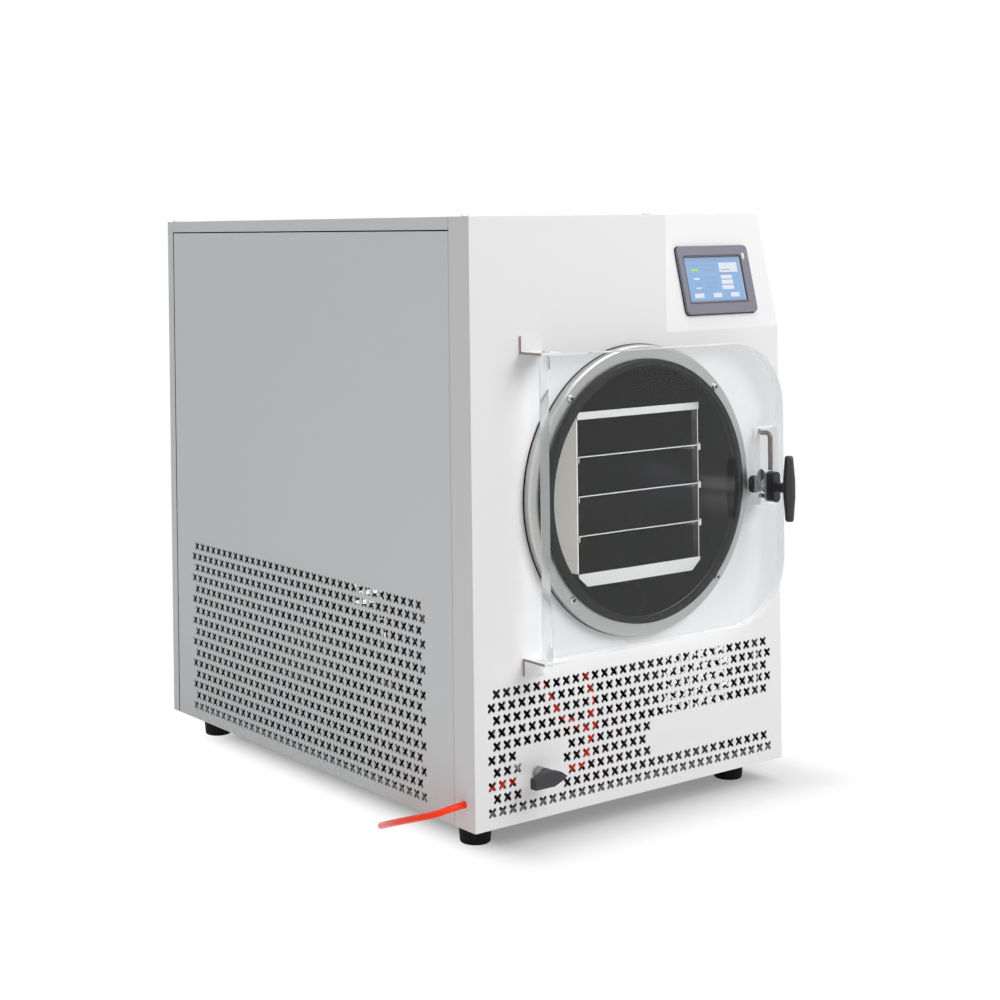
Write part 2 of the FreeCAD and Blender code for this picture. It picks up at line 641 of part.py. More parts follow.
def latch():
    """Turning latch through the door: shaft, cam pieces behind, washer and T-handle in front."""
    x = f"{LEFT} + Sizes.latch_x"
    z = f"{BASE} + Sizes.latch_z"
    outer = "(Sizes.door_gap + Sizes.door_thick)"
    bore = "4 + Sizes.running"
    turned_part("latch_bush", [(bore, f"-{outer}"), (7, f"-{outer}"), (7, f"4 - ({outer})"),
                               (9, f"4 - ({outer})"), (9, f"6 - ({outer})"), (bore, f"6 - ({outer})")],
                x, FRONT, z)
    turned_part("latch_shaft", [(0, -4), (4, -4), (4, f"-{outer} - 4"), (0, f"-{outer} - 4")],
                x, FRONT, z)
    turned_part("latch_sleeve", [(4, -10), (8.5, -10), (8.5, -22), (4, -22)], x, FRONT, z)

    plates = (("latch_cam", 22, 5, 7, -7, 20, 4), ("latch_end_plate", 6, 3, 7, -11, 11, 4))
    for label, front, thick, half_wide, low, high, hole_radius in plates:
        body = new_body(label, x, FRONT, z)
        outline = new_sketch(body, f"{label}_outline", "XZ_Plane", front)
        oblong(outline, half_wide, low, high)
        pad(body, outline, thick)
        hole = new_sketch(body, f"{label}_hole", "XZ_Plane", front)
        circle(hole, 0, 0, hole_radius)
        pocket(body, hole, thick, turned=True)

    body = new_body("latch_washer", x, FRONT, z)
    outline = new_sketch(body, "washer_outline", "XZ_Plane", f"{outer} + 0.3")
    oblong(outline, 6.5, -20, 20)
    pad(body, outline, 3)
    hole = new_sketch(body, "washer_hole", "XZ_Plane", f"{outer} + 0.3")
    circle(hole, 0, 0, 4)
    pocket(body, hole, 3, turned=True)

    body = new_body("latch_handle", x, FRONT, z)
    hub = new_sketch(body, "hub_outline", "XZ_Plane", f"{outer} + 3.3")
    oblong(hub, 6, -19, 19)
    pad(body, hub, 12)
    socket = new_sketch(body, "shaft_socket", "XZ_Plane", f"{outer} + 3.3")
    circle(socket, 0, 0, 4)
    pocket(body, socket, 0.7, turned=True)
    neck_start = new_sketch(body, "neck_start", "XZ_Plane", f"{outer} + 15")
    circle(neck_start, 0, 0, 5.5)
    neck_end = new_sketch(body, "neck_end", "XZ_Plane", f"{outer} + 33")
    circle(neck_end, 0, 0, 7)
    neck = body.newObject("PartDesign::AdditiveLoft", "neck")
    neck.Profile = neck_start
    neck.Sections = [neck_end]
    doc.recompute()
    bar = new_sketch(body, "bar_profile", "YZ_Plane")
    middle = f"-{outer} - 35.5"
    polygon(bar, [(middle, -40.5), (f"{middle} - 4", -40.5), (f"{middle} - 5.2", -38.5),
                  (f"{middle} - 7.5", -10), (f"{middle} - 7.5", 10), (f"{middle} - 5.2", 38.5),
                  (f"{middle} - 4", 40.5), (middle, 40.5)])
    spindle = body.newObject("PartDesign::Revolution", "t_bar")
    spindle.Profile = bar
    spindle.ReferenceAxis = (bar, ["Edge8"])
    spindle.Angle = 360
    doc.recompute()

    across = number("Sizes.staple_x")
    bent_tube("latch_staple", [(across, 0, 344), (across, -31, 344), (across, -31, 425), (across, 0, 425)],
              3, bend=7)


# ---------------------------------------------------------------- control screen

def control_screen():
    """Touch screen on the sloping corner: bezel, glass and the case behind the sheet."""
    slope = math.degrees(math.atan2(number("Sizes.facet_setback"),
                                    number("Sizes.tall - Sizes.facet_bottom")))
    middle_up = 617
    setback = (middle_up - number("Sizes.facet_bottom")) * math.tan(math.radians(slope))
    centre = FreeCAD.Vector(154, number(FRONT) + setback, number(BASE) + middle_up)
    stance = FreeCAD.Rotation(FreeCAD.Vector(1, 0, 0), 90 - slope)

    def plate(label, wide, high, low, thick, corner, shifted_up=0):
        body = doc.addObject("PartDesign::Body", label)
        body.Placement = FreeCAD.Placement(centre, stance)
        outline = new_sketch(body, f"{label}_outline", "XY_Plane", low)
        rectangle(outline, -wide / 2, shifted_up - high / 2, wide, high)
        solid = pad(body, outline, thick)
        if corner:
            uprights = [f"Edge{index}" for index, edge in enumerate(solid.Shape.Edges, start=1)
                        if abs(edge.tangentAt(edge.FirstParameter).z) > 0.9]
            rounding = body.newObject("PartDesign::Fillet", "corners")
            rounding.Base = (solid, uprights)
            rounding.Radius = corner
            doc.recompute()
        return keep(body, label)

    bezel = plate("screen_bezel", 123, 87, 0, 5, 6)
    window = new_sketch(bezel, "window", "XY_Plane", 5)
    rectangle(window, -49, -27, 98, 58)
    pocket(bezel, window, 3)
    plate("screen_glass", 97.6, 57.6, 2, 1.6, 0, 2)
    plate("screen_case", 106, 66, -34, 34, 3)


# ---------------------------------------------------------------- drain

def drain():
    """Drain valve with its lever, the hose inside and the tube that leaves on the left."""
    x = f"{LEFT} + Sizes.valve_x"
    z = f"{BASE} + Sizes.valve_z"
    spindle_bore = "3 + Sizes.running"
    barb_back, barb_rise = 16, -10
    body = turned_part("valve_body", [
        (0, 28), (12, 28), (14, 26), (14, "Sizes.gauge"), (5.5, "Sizes.gauge"), (5.5, -19.7),
        (spindle_bore, -19.7), (spindle_bore, -10), (0, -10)], x, FRONT, z)
    barbs = new_sketch(body, "two_barbs", "YZ_Plane")
    circle(barbs, barb_back, barb_rise, 3.5)
    pad(body, barbs, 40, both_ways=True)

    turned_part("valve_nut", [(5.5, -13), (7.4, -13), (8, -12), (8, -1), (7.4, 0), (5.5, 0)],
                x, FRONT, z)

    lever = new_body("valve_lever", x, FRONT, z)
    outline = new_sketch(lever, "lever_outline", "XZ_Plane", 20)
    polygon(outline, [(-27.5, -10.5), (-27.5, 1), (-15, 6), (-5, 8.4), (11.5, 4.3), (20, -1.8), (13.5, -5.8),
                      (1, -10.5)])
    pad(lever, outline, 10)
    skirt = new_sketch(lever, "skirt", "XZ_Plane", 13.5)
    circle(skirt, 0, 0, 7.4)
    circle(skirt, 0, 0, "5.5 + Sizes.running")
    pad(lever, skirt, 6.5)
    stub = new_sketch(lever, "spindle", "XZ_Plane", 12)
    circle(stub, 0, 0, 3)
    pad(lever, stub, 8)

    valve_x = number("Sizes.valve_x")
    valve_z = number("Sizes.valve_z")
    radius = number("Sizes.hose_radius")
    exit_y, exit_z = 20, 29
    barb_z = valve_z + barb_rise
    bent_tube("drain_hose", [(valve_x - 20, barb_back, barb_z), (58, barb_back, barb_z), (34, 18, exit_z + 8),
                             (20, exit_y, exit_z), (1.5, exit_y, exit_z)], radius)
    up_run = bent_tube("up_run", [(valve_x + 20, barb_back, barb_z), (150, barb_back, barb_z), (181, 19, 43),
                                  (192, 24, 72), (204, 27, 88), (200, 29, 104), (206, 34, 124),
                                  (208, 46, 139), (222, 60, 147), (250, 62, 143), (250, 62, 173)],
                       radius, kept=False)
    vent_run = bent_tube("vent_run", [(193.7, 26.7, 80.2), (160, 31, 100), (143, 31, 116), (126, 31, 146),
                                      (104, 31, 168), (50, 31, 176), (1.5, 31, 176)], radius, kept=False)
    group("chamber_hoses", [up_run, vent_run])
    bent_tube("drain_tube", [(1.3, exit_y, exit_z), (-17, exit_y, 28.3), (-34, 28.5, 22.3), (-43, 46, 16.2),
                             (-45, 71, 7.2), (-42, 99, -3.2), (-33, 128, -14.2), (-21.5, 156, -25.2)], radius)


# ---------------------------------------------------------------- cooling unit

def cooling_unit():
    """Compressor, condenser, fan and pipes on the base pan."""
    pan = "Sizes.foot_height + Sizes.gauge"
    turned_part("compressor", [
        (0, 10), (70, 10), (72, 16), (72, 70), (75, 74), (75, 80), (72, 84), (72, 130), (60, 152),
        (35, 162), (0, 164)], f"{LEFT} + 140", f"{FRONT} + 500", pan, "XZ_Plane")
    legs = doc.addObject("Part::Feature", "compressor_grommets")
    left, front, low = number(LEFT), number(FRONT), number(pan)
    spots = [FreeCAD.Vector(left + across, front + back, low) for across in (98, 182) for back in (458, 542)]
    legs.Shape = Part.makeCompound([Part.makeCylinder(9, 10, spot) for spot in spots])
    keep(legs, "compressor_grommets")

    fins = 15
    pitch = 160 / (fins - 1)
    depth_at = 560
    core = block("condenser_core", (310, depth_at + 5, 25), (160, 24, 174))
    plates = [core]
    for index in range(fins):
        plates.append(block(f"fin_{index}", (309.4 + index * pitch, depth_at, "Sizes.gauge"),
                            (1.2, 34, 198)))
    condenser = doc.addObject("Part::MultiFuse", "condenser")
    condenser.Shapes = plates
    keep(condenser, "condenser")

    x = f"{LEFT} + Sizes.fan_x"
    y = f"{FRONT} + {depth_at + 34}"
    z = f"{BASE} + Sizes.fan_z"
    shroud = new_body("fan_shroud", x, y, z)
    frame = new_sketch(shroud, "shroud_outline", "XZ_Plane")
    rectangle(frame, -84, -100, 168, 186)
    pad(shroud, frame, 14, towards_back=True)
    opening = new_sketch(shroud, "shroud_opening", "XZ_Plane")
    circle(opening, 0, 0, "Sizes.fan_radius + 3")
    pocket(shroud, opening, 14)

    turned_part("fan_motor", [(0, 9), (3, 9), (3, 22), (22, 22), (24, 24), (24, 50), (20, 54), (0, 54)],
                x, y, z)
    bracket = new_body("motor_bracket", x, y, z)
    bars = new_sketch(bracket, "bracket_bar", "XZ_Plane", -54)
    rectangle(bars, -84, -8, 168, 16)
    pad(bracket, bars, 2, towards_back=True)
    for name, across in (("left_leg", -84), ("right_leg", 82)):
        leg = new_sketch(bracket, name, "XZ_Plane", -14)
        rectangle(leg, across, -8, 2, 16)
        pad(bracket, leg, 40.5, towards_back=True)

    blades = new_body("fan_blades", x, y, z)
    hub = new_sketch(blades, "hub", "XZ_Plane", -2)
    circle(hub, 0, 0, 20)
    pad(blades, hub, 15, towards_back=True)
    bore = new_sketch(blades, "hub_bore", "XZ_Plane", -8)
    circle(bore, 0, 0, "3 + Sizes.running")
    pocket(blades, bore, 10)
    root = new_sketch(blades, "blade_root", "YZ_Plane", 17)
    polygon(root, [(3, -12), (4.6, -12.6), (13, 11), (11.4, 11.6)])
    tip = new_sketch(blades, "blade_tip", "YZ_Plane", "Sizes.fan_radius - 5")
    polygon(tip, [(4, -24), (5.4, -24.6), (11, 21), (9.6, 21.6)])
    blade = blades.newObject("PartDesign::AdditiveLoft", "blade")
    blade.Profile = root
    blade.Sections = [tip]
    blade.Ruled = True
    doc.recompute()
    ring = blades.newObject("PartDesign::PolarPattern", "blade_ring")
    ring.Originals = [blade]
    ring.Axis = (hub, ["N_Axis"])
    ring.Angle = 360
    ring.Occurrences = 5
    blades.Tip = ring
    doc.recompute()

    bent_tube("discharge_pipe", [(212, 500, 60), (238, 500, 60), (262, 514, 78), (272, 545, 116),
                                 (276, 572, 152), (288, 577, 178), (309.4, 577, 178)], 4)
    bent_tube("liquid_pipe", [(309.4, 577, 40), (285, 577, 40), (262, 560, 36), (250, 520, 42),
                              (250, 470, 62), (250, 430, 82), (250, 430, 110)], 3)
    turned_part("filter_drier", [(0, 0), (5, 4), (12, 12), (12, 70), (5, 78), (0, 82)],
                0, f"{FRONT} + 430", f"{BASE} + 110", "XZ_Plane")


def services():
    """Vacuum port and its pipe, the electrical box, the mains inlet and the main switch."""
    back = "Sizes.depth"
    shell_end = "Sizes.chamber_length + 33"
    turned_part("vacuum_pipe", [(11, shell_end), (14, shell_end), (14, f"{back} - 18"),
                                (11, f"{back} - 18")], 0, FRONT, RING)
    turned_part("vacuum_port", [
        (12.5, f"{back} - 18"), (14, f"{back} - 18"), (14, f"{back} - Sizes.gauge - 3"),
        (19, f"{back} - Sizes.gauge - 3"), (19, f"{back} - Sizes.gauge"), (14, f"{back} - Sizes.gauge"),
        (14, f"{back} + 24"), (20, f"{back} + 27"), (20, f"{back} + 30"), (12.5, f"{back} + 30")],
        0, FRONT, RING)

    keep(block("control_box", ("Sizes.width - Sizes.gauge - 62", 216, 26), (62, 300, 150)), "control_box")

    inlet = new_body("mains_inlet", f"{LEFT} + 74", f"{FRONT} + {back}", f"{BASE} + 84")
    flange = new_sketch(inlet, "inlet_flange", "XZ_Plane")
    rectangle(flange, -16, -29, 32, 58)
    pad(inlet, flange, 3, towards_back=True)
    well = new_sketch(inlet, "inlet_case", "XZ_Plane")
    rectangle(well, -13.6, -23.6, 27.2, 47.2)
    pad(inlet, well, 30)
    mouth = new_sketch(inlet, "inlet_mouth", "XZ_Plane", -3)
    polygon(mouth, [(-12, -14), (12, -14), (12, -4), (7, 3), (-7, 3), (-12, -4)])
    pocket(inlet, mouth, 20, turned=True)
    pins = new_sketch(inlet, "inlet_pins", "XZ_Plane", 17)
    rectangle(pins, -8, -10, 2, 4)
    rectangle(pins, 6, -10, 2, 4)
    rectangle(pins, -1, -4.5, 2, 4)
    pad(inlet, pins, 16, towards_back=True)

    y = f"{FRONT} + {back}"
    z = f"{BASE} + 140"
    frame = new_body("switch_frame", f"{LEFT} + 74", y, z)
    outline = new_sketch(frame, "frame_outline", "XZ_Plane")
    rectangle(outline, -16, -12, 32, 24)
    pad(frame, outline, 2, towards_back=True)
    case = new_sketch(frame, "frame_case", "XZ_Plane")
    rectangle(case, -13.6, -9.6, 27.2, 19.2)
    pad(frame, case, 22)
    well = new_sketch(frame, "rocker_well", "XZ_Plane", -2)
    rectangle(well, -12, -8, 24, 16)
    pocket(frame, well, 14, turned=True)
    sockets = new_sketch(frame, "pivot_sockets", "XY_Plane", -9)
    circle(sockets, 0, 0, "1 + Sizes.running")
    pocket(frame, sockets, 18, turned=True)

    rocker = new_body("switch_rocker", f"{LEFT} + 74", y, z)
    profile = new_sketch(rocker, "rocker_profile", "XY_Plane")
    polygon(profile, [(-11, 1), (-9, 5.5), (0, 1.5), (9, 2.5), (11, 1), (9.5, -4), (-9.5, -4)])
    pad(rocker, profile, 15, both_ways=True)
    pivot = new_sketch(rocker, "pivot", "XY_Plane")
    circle(pivot, 0, 0, 1)
    pad(rocker, pivot, 17.6, both_ways=True)


# ---------------------------------------------------------------- build and write

def build_all():
    """Build every sub-part."""
    front_panel()
    side_panel("left_side_panel", LEFT, 1)
    side_panel("right_side_panel", "Sizes.width / 2", -1)
    top_cover()
    rear_panel()
    base_pan()
    feet()
    cover_screws()
    chamber()
    rack()
    door()
    hinges()
    latch()
    control_screen()
    drain()
    cooling_unit()
    services()
    doc.recompute()


def check_all():
    """Stop if any feature failed or any sub-part isn't a valid solid."""
    for thing in doc.Objects:
        if "Invalid" in thing.State or "Error" in thing.State:
            raise RuntimeError(f"{thing.Label} is {thing.State}")
    for thing in PARTS:
        if thing.Shape.isNull() or not thing.Shape.isValid() or not thing.Shape.Solids:
            raise RuntimeError(f"{thing.Label} has no valid solid")


def write_all():
    """Write each sub-part to a file of its own."""
    os.makedirs("parts", exist_ok=True)
    for thing in PARTS:
        thing.Shape.exportStep(f"parts/{thing.Label}.step")
    print(len(PARTS), "parts written")


build_all()
check_all()
write_all()
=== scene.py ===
"""Looks of the tabletop freeze dryer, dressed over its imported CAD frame. Metres, +Z up."""

import json
import math

import bmesh
import bpy
from mathutils import Matrix, Vector

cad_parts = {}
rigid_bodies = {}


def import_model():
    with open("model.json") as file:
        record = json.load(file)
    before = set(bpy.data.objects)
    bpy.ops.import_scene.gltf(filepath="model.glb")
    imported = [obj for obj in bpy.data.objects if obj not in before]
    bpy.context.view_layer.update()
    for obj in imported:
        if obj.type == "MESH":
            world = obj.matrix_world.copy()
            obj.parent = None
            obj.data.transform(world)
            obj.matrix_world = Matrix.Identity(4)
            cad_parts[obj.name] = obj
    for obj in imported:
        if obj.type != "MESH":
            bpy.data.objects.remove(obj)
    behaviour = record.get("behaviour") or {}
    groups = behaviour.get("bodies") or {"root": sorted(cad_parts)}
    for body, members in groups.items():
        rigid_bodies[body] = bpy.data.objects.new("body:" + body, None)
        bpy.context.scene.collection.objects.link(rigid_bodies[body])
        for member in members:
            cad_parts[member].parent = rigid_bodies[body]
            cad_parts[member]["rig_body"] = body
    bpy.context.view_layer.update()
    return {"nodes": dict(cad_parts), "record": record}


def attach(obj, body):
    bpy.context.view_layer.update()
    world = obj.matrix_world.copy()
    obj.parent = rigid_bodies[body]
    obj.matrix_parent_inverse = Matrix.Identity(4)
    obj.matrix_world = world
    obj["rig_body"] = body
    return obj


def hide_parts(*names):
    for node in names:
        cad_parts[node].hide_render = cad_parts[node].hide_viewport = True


bl_info = {
    "name": "Tabletop freeze dryer",
    "version": (1, 0, 0),
    "blender": (4, 5, 0),
    "location": "3D View > Sidebar > Freeze dryer",
    "description": "Builds the freeze dryer's finished pieces, one operator for each kind of piece",
    "category": "Object",
}

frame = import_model()
SLOT_OF = {part["node"]: part["material_slot"] for part in frame["record"]["subparts"]}

# Edges sharper than this stay crisp when a mesh is shaded or softened.
SHARP = math.radians(32)
# Faces that meet at more than this many radians make an edge worth rounding.
BENT = 0.15
# Square metres: a sheet's edge between faces above the first is one of its bends, and a face
# above the second is its inner or outer side.
BROAD_FACE = 2.5e-3
WIDE_FACE = 1e-3
# Turns what is drawn upwards so that its top looks to the front.
TO_FRONT = (math.pi / 2, 0, 0)

# Where the cabinet's sheets meet, in millimetres from its front lower left corner.
FRONT_SHEET_END = 38
REAR_SHEET_END = 688
COVER_FLANGE_END = 685
# Gaps that show as dark seams beside and above the side sheets.
SEAM = 0.9
COVER_SEAM = 1.6
# Axes, across and up: the chamber's, the latch's and the drain valve's.
CHAMBER_AXIS = (250, 369)
LATCH_AXIS = (437, 360)
VALVE_AXIS = (92, 55)
TRAY_PITCH = 46.6


# ---------------------------------------------------------------- helpers

def linear(code):
    """Turn an sRGB hex colour into Blender's linear values."""
    channels = [int(code[start:start + 2], 16) / 255 for start in (1, 3, 5)]
    return tuple(c / 12.92 if c <= 0.04045 else ((c + 0.055) / 1.055) ** 2.4 for c in channels)


def at(across, back, up):
    """A point in metres from millimetres measured from the cabinet's front lower left corner."""
    return Vector((across - 250, back - 325, up + 30)) / 1000


def add_node(tree, kind, settings=None, inputs=None):
    """Add a node, set its own settings, and give its inputs their values or links."""
    node = tree.nodes.new(kind)
    for name, value in (settings or {}).items():
        setattr(node, name, value)
    for name, value in (inputs or {}).items():
        socket = node.inputs[name]
        if isinstance(value, bpy.types.NodeSocket):
            tree.links.new(value, socket)
        else:
            socket.default_value = value
    return node


def new_finish(name, colour, roughness, metallic=0.0, grain=None, sockets=None):
    """Make a material; grain is (pattern size in mm, depth in mm, stretch along X, Y and Z)."""
    material = bpy.data.materials.new(name)
    material.use_nodes = True
    tree = material.node_tree
    tree.nodes.clear()
    inputs = {"Base Color": (*linear(colour), 1), "Roughness": roughness, "Metallic": metallic}
    inputs.update(sockets or {})
    shader = add_node(tree, "ShaderNodeBsdfPrincipled", inputs=inputs)
    if grain:
        size, depth, stretch = grain
        place = add_node(tree, "ShaderNodeTexCoord")
        turned = add_node(tree, "ShaderNodeMapping", inputs={"Vector": place.outputs["Object"],
                                                             "Scale": stretch})
        noise = add_node(tree, "ShaderNodeTexNoise", inputs={
            "Vector": turned.outputs["Vector"], "Scale": 1000 / size, "Detail": 3.0})
        bump = add_node(tree, "ShaderNodeBump", inputs={
            "Height": noise.outputs["Fac"], "Strength": 1.0, "Distance": depth / 1000})
        tree.links.new(bump.outputs["Normal"], shader.inputs["Normal"])
    end = add_node(tree, "ShaderNodeOutputMaterial")
    tree.links.new(shader.outputs["BSDF"], end.inputs["Surface"])
    return material


def finish_for(slot):
    """The material of one of the record's slots."""
    return bpy.data.materials[FINISHES[slot][0]]


def new_piece(name, mesh):
    """Link a new object at the origin."""
    piece = bpy.data.objects.new(name.replace(" ", "_"), mesh)
    bpy.context.scene.collection.objects.link(piece)
    return piece


def soften(piece, width, segments=2):
    """Round a piece's edges a little."""
    edges = piece.modifiers.new("Softened edges", "BEVEL")
    edges.width = width / 1000
    edges.segments = segments
    edges.limit_method = "ANGLE"
    edges.angle_limit = SHARP
    edges.harden_normals = True


def shade(mesh):
    """Shade a mesh smooth between its sharp edges."""
    mesh.polygons.foreach_set("use_smooth", [True] * len(mesh.polygons))
    mesh.set_sharp_from_angle(angle=SHARP)


def hand_over(piece, body, nodes=()):
    """Tie a finished piece to its body and hide the CAD nodes it stands for."""
    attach(piece, body)
    if nodes:
        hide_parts(*nodes)
    return piece


def merged_copy(node):
    """A CAD node's mesh with its loose triangles joined and its flat faces made whole."""
    mesh = frame["nodes"][node].data.copy()
    work = bmesh.new()
    work.from_mesh(mesh)
    bmesh.ops.remove_doubles(work, verts=work.verts, dist=2e-6)
    bmesh.ops.dissolve_limit(
        work, angle_limit=math.radians(0.5), verts=work.verts, edges=work.edges)
    work.to_mesh(mesh)
    work.free()
    return mesh


def dress(node, softened=0.0, segments=2, finish=None):
    """Finish a CAD node as it stands: joined, painted and with softened edges."""
    slot = SLOT_OF[node]
    mesh = merged_copy(node)
    mesh.materials.clear()
    mesh.materials.append(bpy.data.materials[finish] if finish else finish_for(slot))
    shade(mesh)
    piece = new_piece(f"{node} finished", mesh)
    if softened:
        soften(piece, softened, segments)
    return hand_over(piece, frame["nodes"][node]["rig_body"], [node])


def slab(work, low, high, matrix=Matrix()):
    """Add a box to a bmesh, from its lowest to its highest corner."""
    low, high = Vector(low), Vector(high)
    stance = matrix @ Matrix.Translation((low + high) / 2) @ Matrix.Diagonal((*(high - low), 1))
    bmesh.ops.create_cube(work, size=1, matrix=stance)


def mesh_from(work, name, slot=None):
    """Close a bmesh into a mesh with one material."""
    mesh = bpy.data.meshes.new(name)
    work.to_mesh(mesh)
    work.free()
    if slot:
        mesh.materials.append(finish_for(slot))
    return mesh


def prism(outline, low, high):
    """A bmesh prism over an outline in XZ, from y = low to y = high."""
    work = bmesh.new()
    front = [work.verts.new((x, low, z)) for x, z in outline]
    back = [work.verts.new((x, high, z)) for x, z in outline]
    work.faces.new(front)
    work.faces.new(list(reversed(back)))
    count = len(outline)
    for here in range(count):
        there = (here + 1) % count
        work.faces.new((front[there], front[here], back[here], back[there]))
    bmesh.ops.recalc_face_normals(work, faces=work.faces)
    return work


def lathe(profile, steps=24):
    """A bmesh turned about Z from (radius, height) points, closed on the axis or as a ring."""
    work = bmesh.new()
    rings = []
    for radius, height in profile:
        if radius == 0:
            rings.append([work.verts.new((0, 0, height))])
        else:
            rings.append([work.verts.new((radius * math.cos(2 * math.pi * step / steps),
                                          radius * math.sin(2 * math.pi * step / steps), height))
                          for step in range(steps)])
    if profile[0][0]:
        rings.append(rings[0])
    for lower, upper in zip(rings, rings[1:]):
        for step in range(steps):
            after = (step + 1) % steps
            corners = [lower[step % len(lower)], lower[after % len(lower)],
                       upper[after % len(upper)], upper[step % len(upper)]]
            work.faces.new(list(dict.fromkeys(corners)))
    bmesh.ops.recalc_face_normals(work, faces=work.faces)
    return work


# ---------------------------------------------------------------- repeating pieces

def new_tree(name, sockets):
    """Start a geometry tree with named inputs, after the geometry itself."""
    tree = bpy.data.node_groups.new(name, "GeometryNodeTree")
    tree.interface.new_socket("Geometry", in_out="OUTPUT", socket_type="NodeSocketGeometry")
    tree.interface.new_socket("Geometry", in_out="INPUT", socket_type="NodeSocketGeometry")
    for label, kind in sockets:
        tree.interface.new_socket(label, in_out="INPUT", socket_type=f"NodeSocket{kind}")
    return tree, add_node(tree, "NodeGroupInput").outputs


def end_tree(tree, geometry, finish):
    """End a tree in real geometry with its material."""
    real = add_node(tree, "GeometryNodeRealizeInstances", inputs={"Geometry": geometry})
    painted = add_node(tree, "GeometryNodeSetMaterial", inputs={
        "Geometry": real.outputs["Geometry"], "Material": finish})
    add_node(tree, "NodeGroupOutput", inputs={"Geometry": painted.outputs["Geometry"]})
    return tree


def punching_tree():
    """Punch staggered rows of one hole through a sheet, leaving two rectangles of it whole."""
    tree, given = new_tree("Staggered punching", [
        ("Holes in a long row", "Int"), ("Rows", "Int"), ("Pitch", "Float"), ("Row step", "Float"),
        ("First hole", "Vector"), ("Along", "Vector"), ("Whole centre 1", "Vector"),
        ("Whole half size 1", "Vector"), ("Whole centre 2", "Vector"),
        ("Whole half size 2", "Vector"),
        ("Punch", "Object"), ("Punch turn", "Vector"), ("Finish", "Material")])

    def maths(operation, *values):
        node = add_node(tree, "ShaderNodeMath", {"operation": operation})
        for index, value in enumerate(values):
            if isinstance(value, bpy.types.NodeSocket):
                tree.links.new(value, node.inputs[index])
            else:
                node.inputs[index].default_value = value
        return node.outputs[0]

    def vectors(operation, output, *values):
        node = add_node(tree, "ShaderNodeVectorMath", {"operation": operation})
        for index, value in enumerate(values):
            tree.links.new(value, node.inputs[index])
        return node.outputs[output]

    count = given["Holes in a long row"]
    index = add_node(tree, "GeometryNodeInputIndex").outputs["Index"]
    row = maths("FLOOR", maths("DIVIDE", index, count))
    column = maths("SUBTRACT", index, maths("MULTIPLY", row, count))
    odd = maths("MODULO", row, 2)
    short = maths("SUBTRACT", 1, odd)
    shift = maths("MULTIPLY", maths("ADD", column, maths("MULTIPLY", short, 0.5)), given["Pitch"])
    drop = maths("MULTIPLY", maths("MULTIPLY", row, given["Row step"]), -1)
    down = add_node(tree, "ShaderNodeCombineXYZ", inputs={"Z": drop}).outputs["Vector"]
    along = add_node(tree, "ShaderNodeVectorMath", {"operation": "SCALE"}, {
        "Vector": given["Along"], "Scale": shift}).outputs["Vector"]
    spot = vectors("ADD", "Vector", vectors("ADD", "Vector", given["First hole"], along), down)

    drawn = add_node(tree, "GeometryNodePoints", inputs={
        "Count": maths("MULTIPLY", count, given["Rows"]), "Position": spot})
    spare = maths("MULTIPLY", short, maths("COMPARE", column, maths("SUBTRACT", count, 1), 0.5))
    for number in (1, 2):
        away = vectors("ABSOLUTE", "Vector",
                       vectors("SUBTRACT", "Vector", spot, given[f"Whole centre {number}"]))
        room = add_node(tree, "ShaderNodeSeparateXYZ", inputs={
            "Vector": vectors("SUBTRACT", "Vector", given[f"Whole half size {number}"], away)})
        inside = maths("MULTIPLY", maths("GREATER_THAN", room.outputs["X"], 0),
                       maths("GREATER_THAN", room.outputs["Z"], 0))
        spare = maths("MAXIMUM", spare, inside)
    keepers = add_node(tree, "GeometryNodeDeleteGeometry", {"domain": "POINT"}, {
        "Geometry": drawn.outputs["Geometry"], "Selection": spare})
    punch = add_node(tree, "GeometryNodeObjectInfo", inputs={"Object": given["Punch"]})
    placed = add_node(tree, "GeometryNodeInstanceOnPoints", inputs={
        "Points": keepers.outputs["Geometry"], "Instance": punch.outputs["Geometry"],
        "Rotation": given["Punch turn"]})
    punches = add_node(tree, "GeometryNodeRealizeInstances", inputs={
        "Geometry": placed.outputs["Instances"]})
    carve = {"operation": "DIFFERENCE", "solver": "MANIFOLD"}
    cut = add_node(tree, "GeometryNodeMeshBoolean", carve, {
        "Mesh 1": given["Geometry"], "Mesh 2": punches.outputs["Geometry"]})
    return end_tree(tree, cut.outputs["Mesh"], given["Finish"])


def heads_tree():
    """Set one head on each point of a mesh."""
    tree, given = new_tree("Heads on points", [
        ("Head", "Object"), ("Turn", "Vector"), ("Finish", "Material")])
    head = add_node(tree, "GeometryNodeObjectInfo", inputs={"Object": given["Head"]})
    placed = add_node(tree, "GeometryNodeInstanceOnPoints", inputs={
        "Points": given["Geometry"], "Instance": head.outputs["Geometry"],
        "Rotation": given["Turn"]})
    return end_tree(tree, placed.outputs["Instances"], given["Finish"])


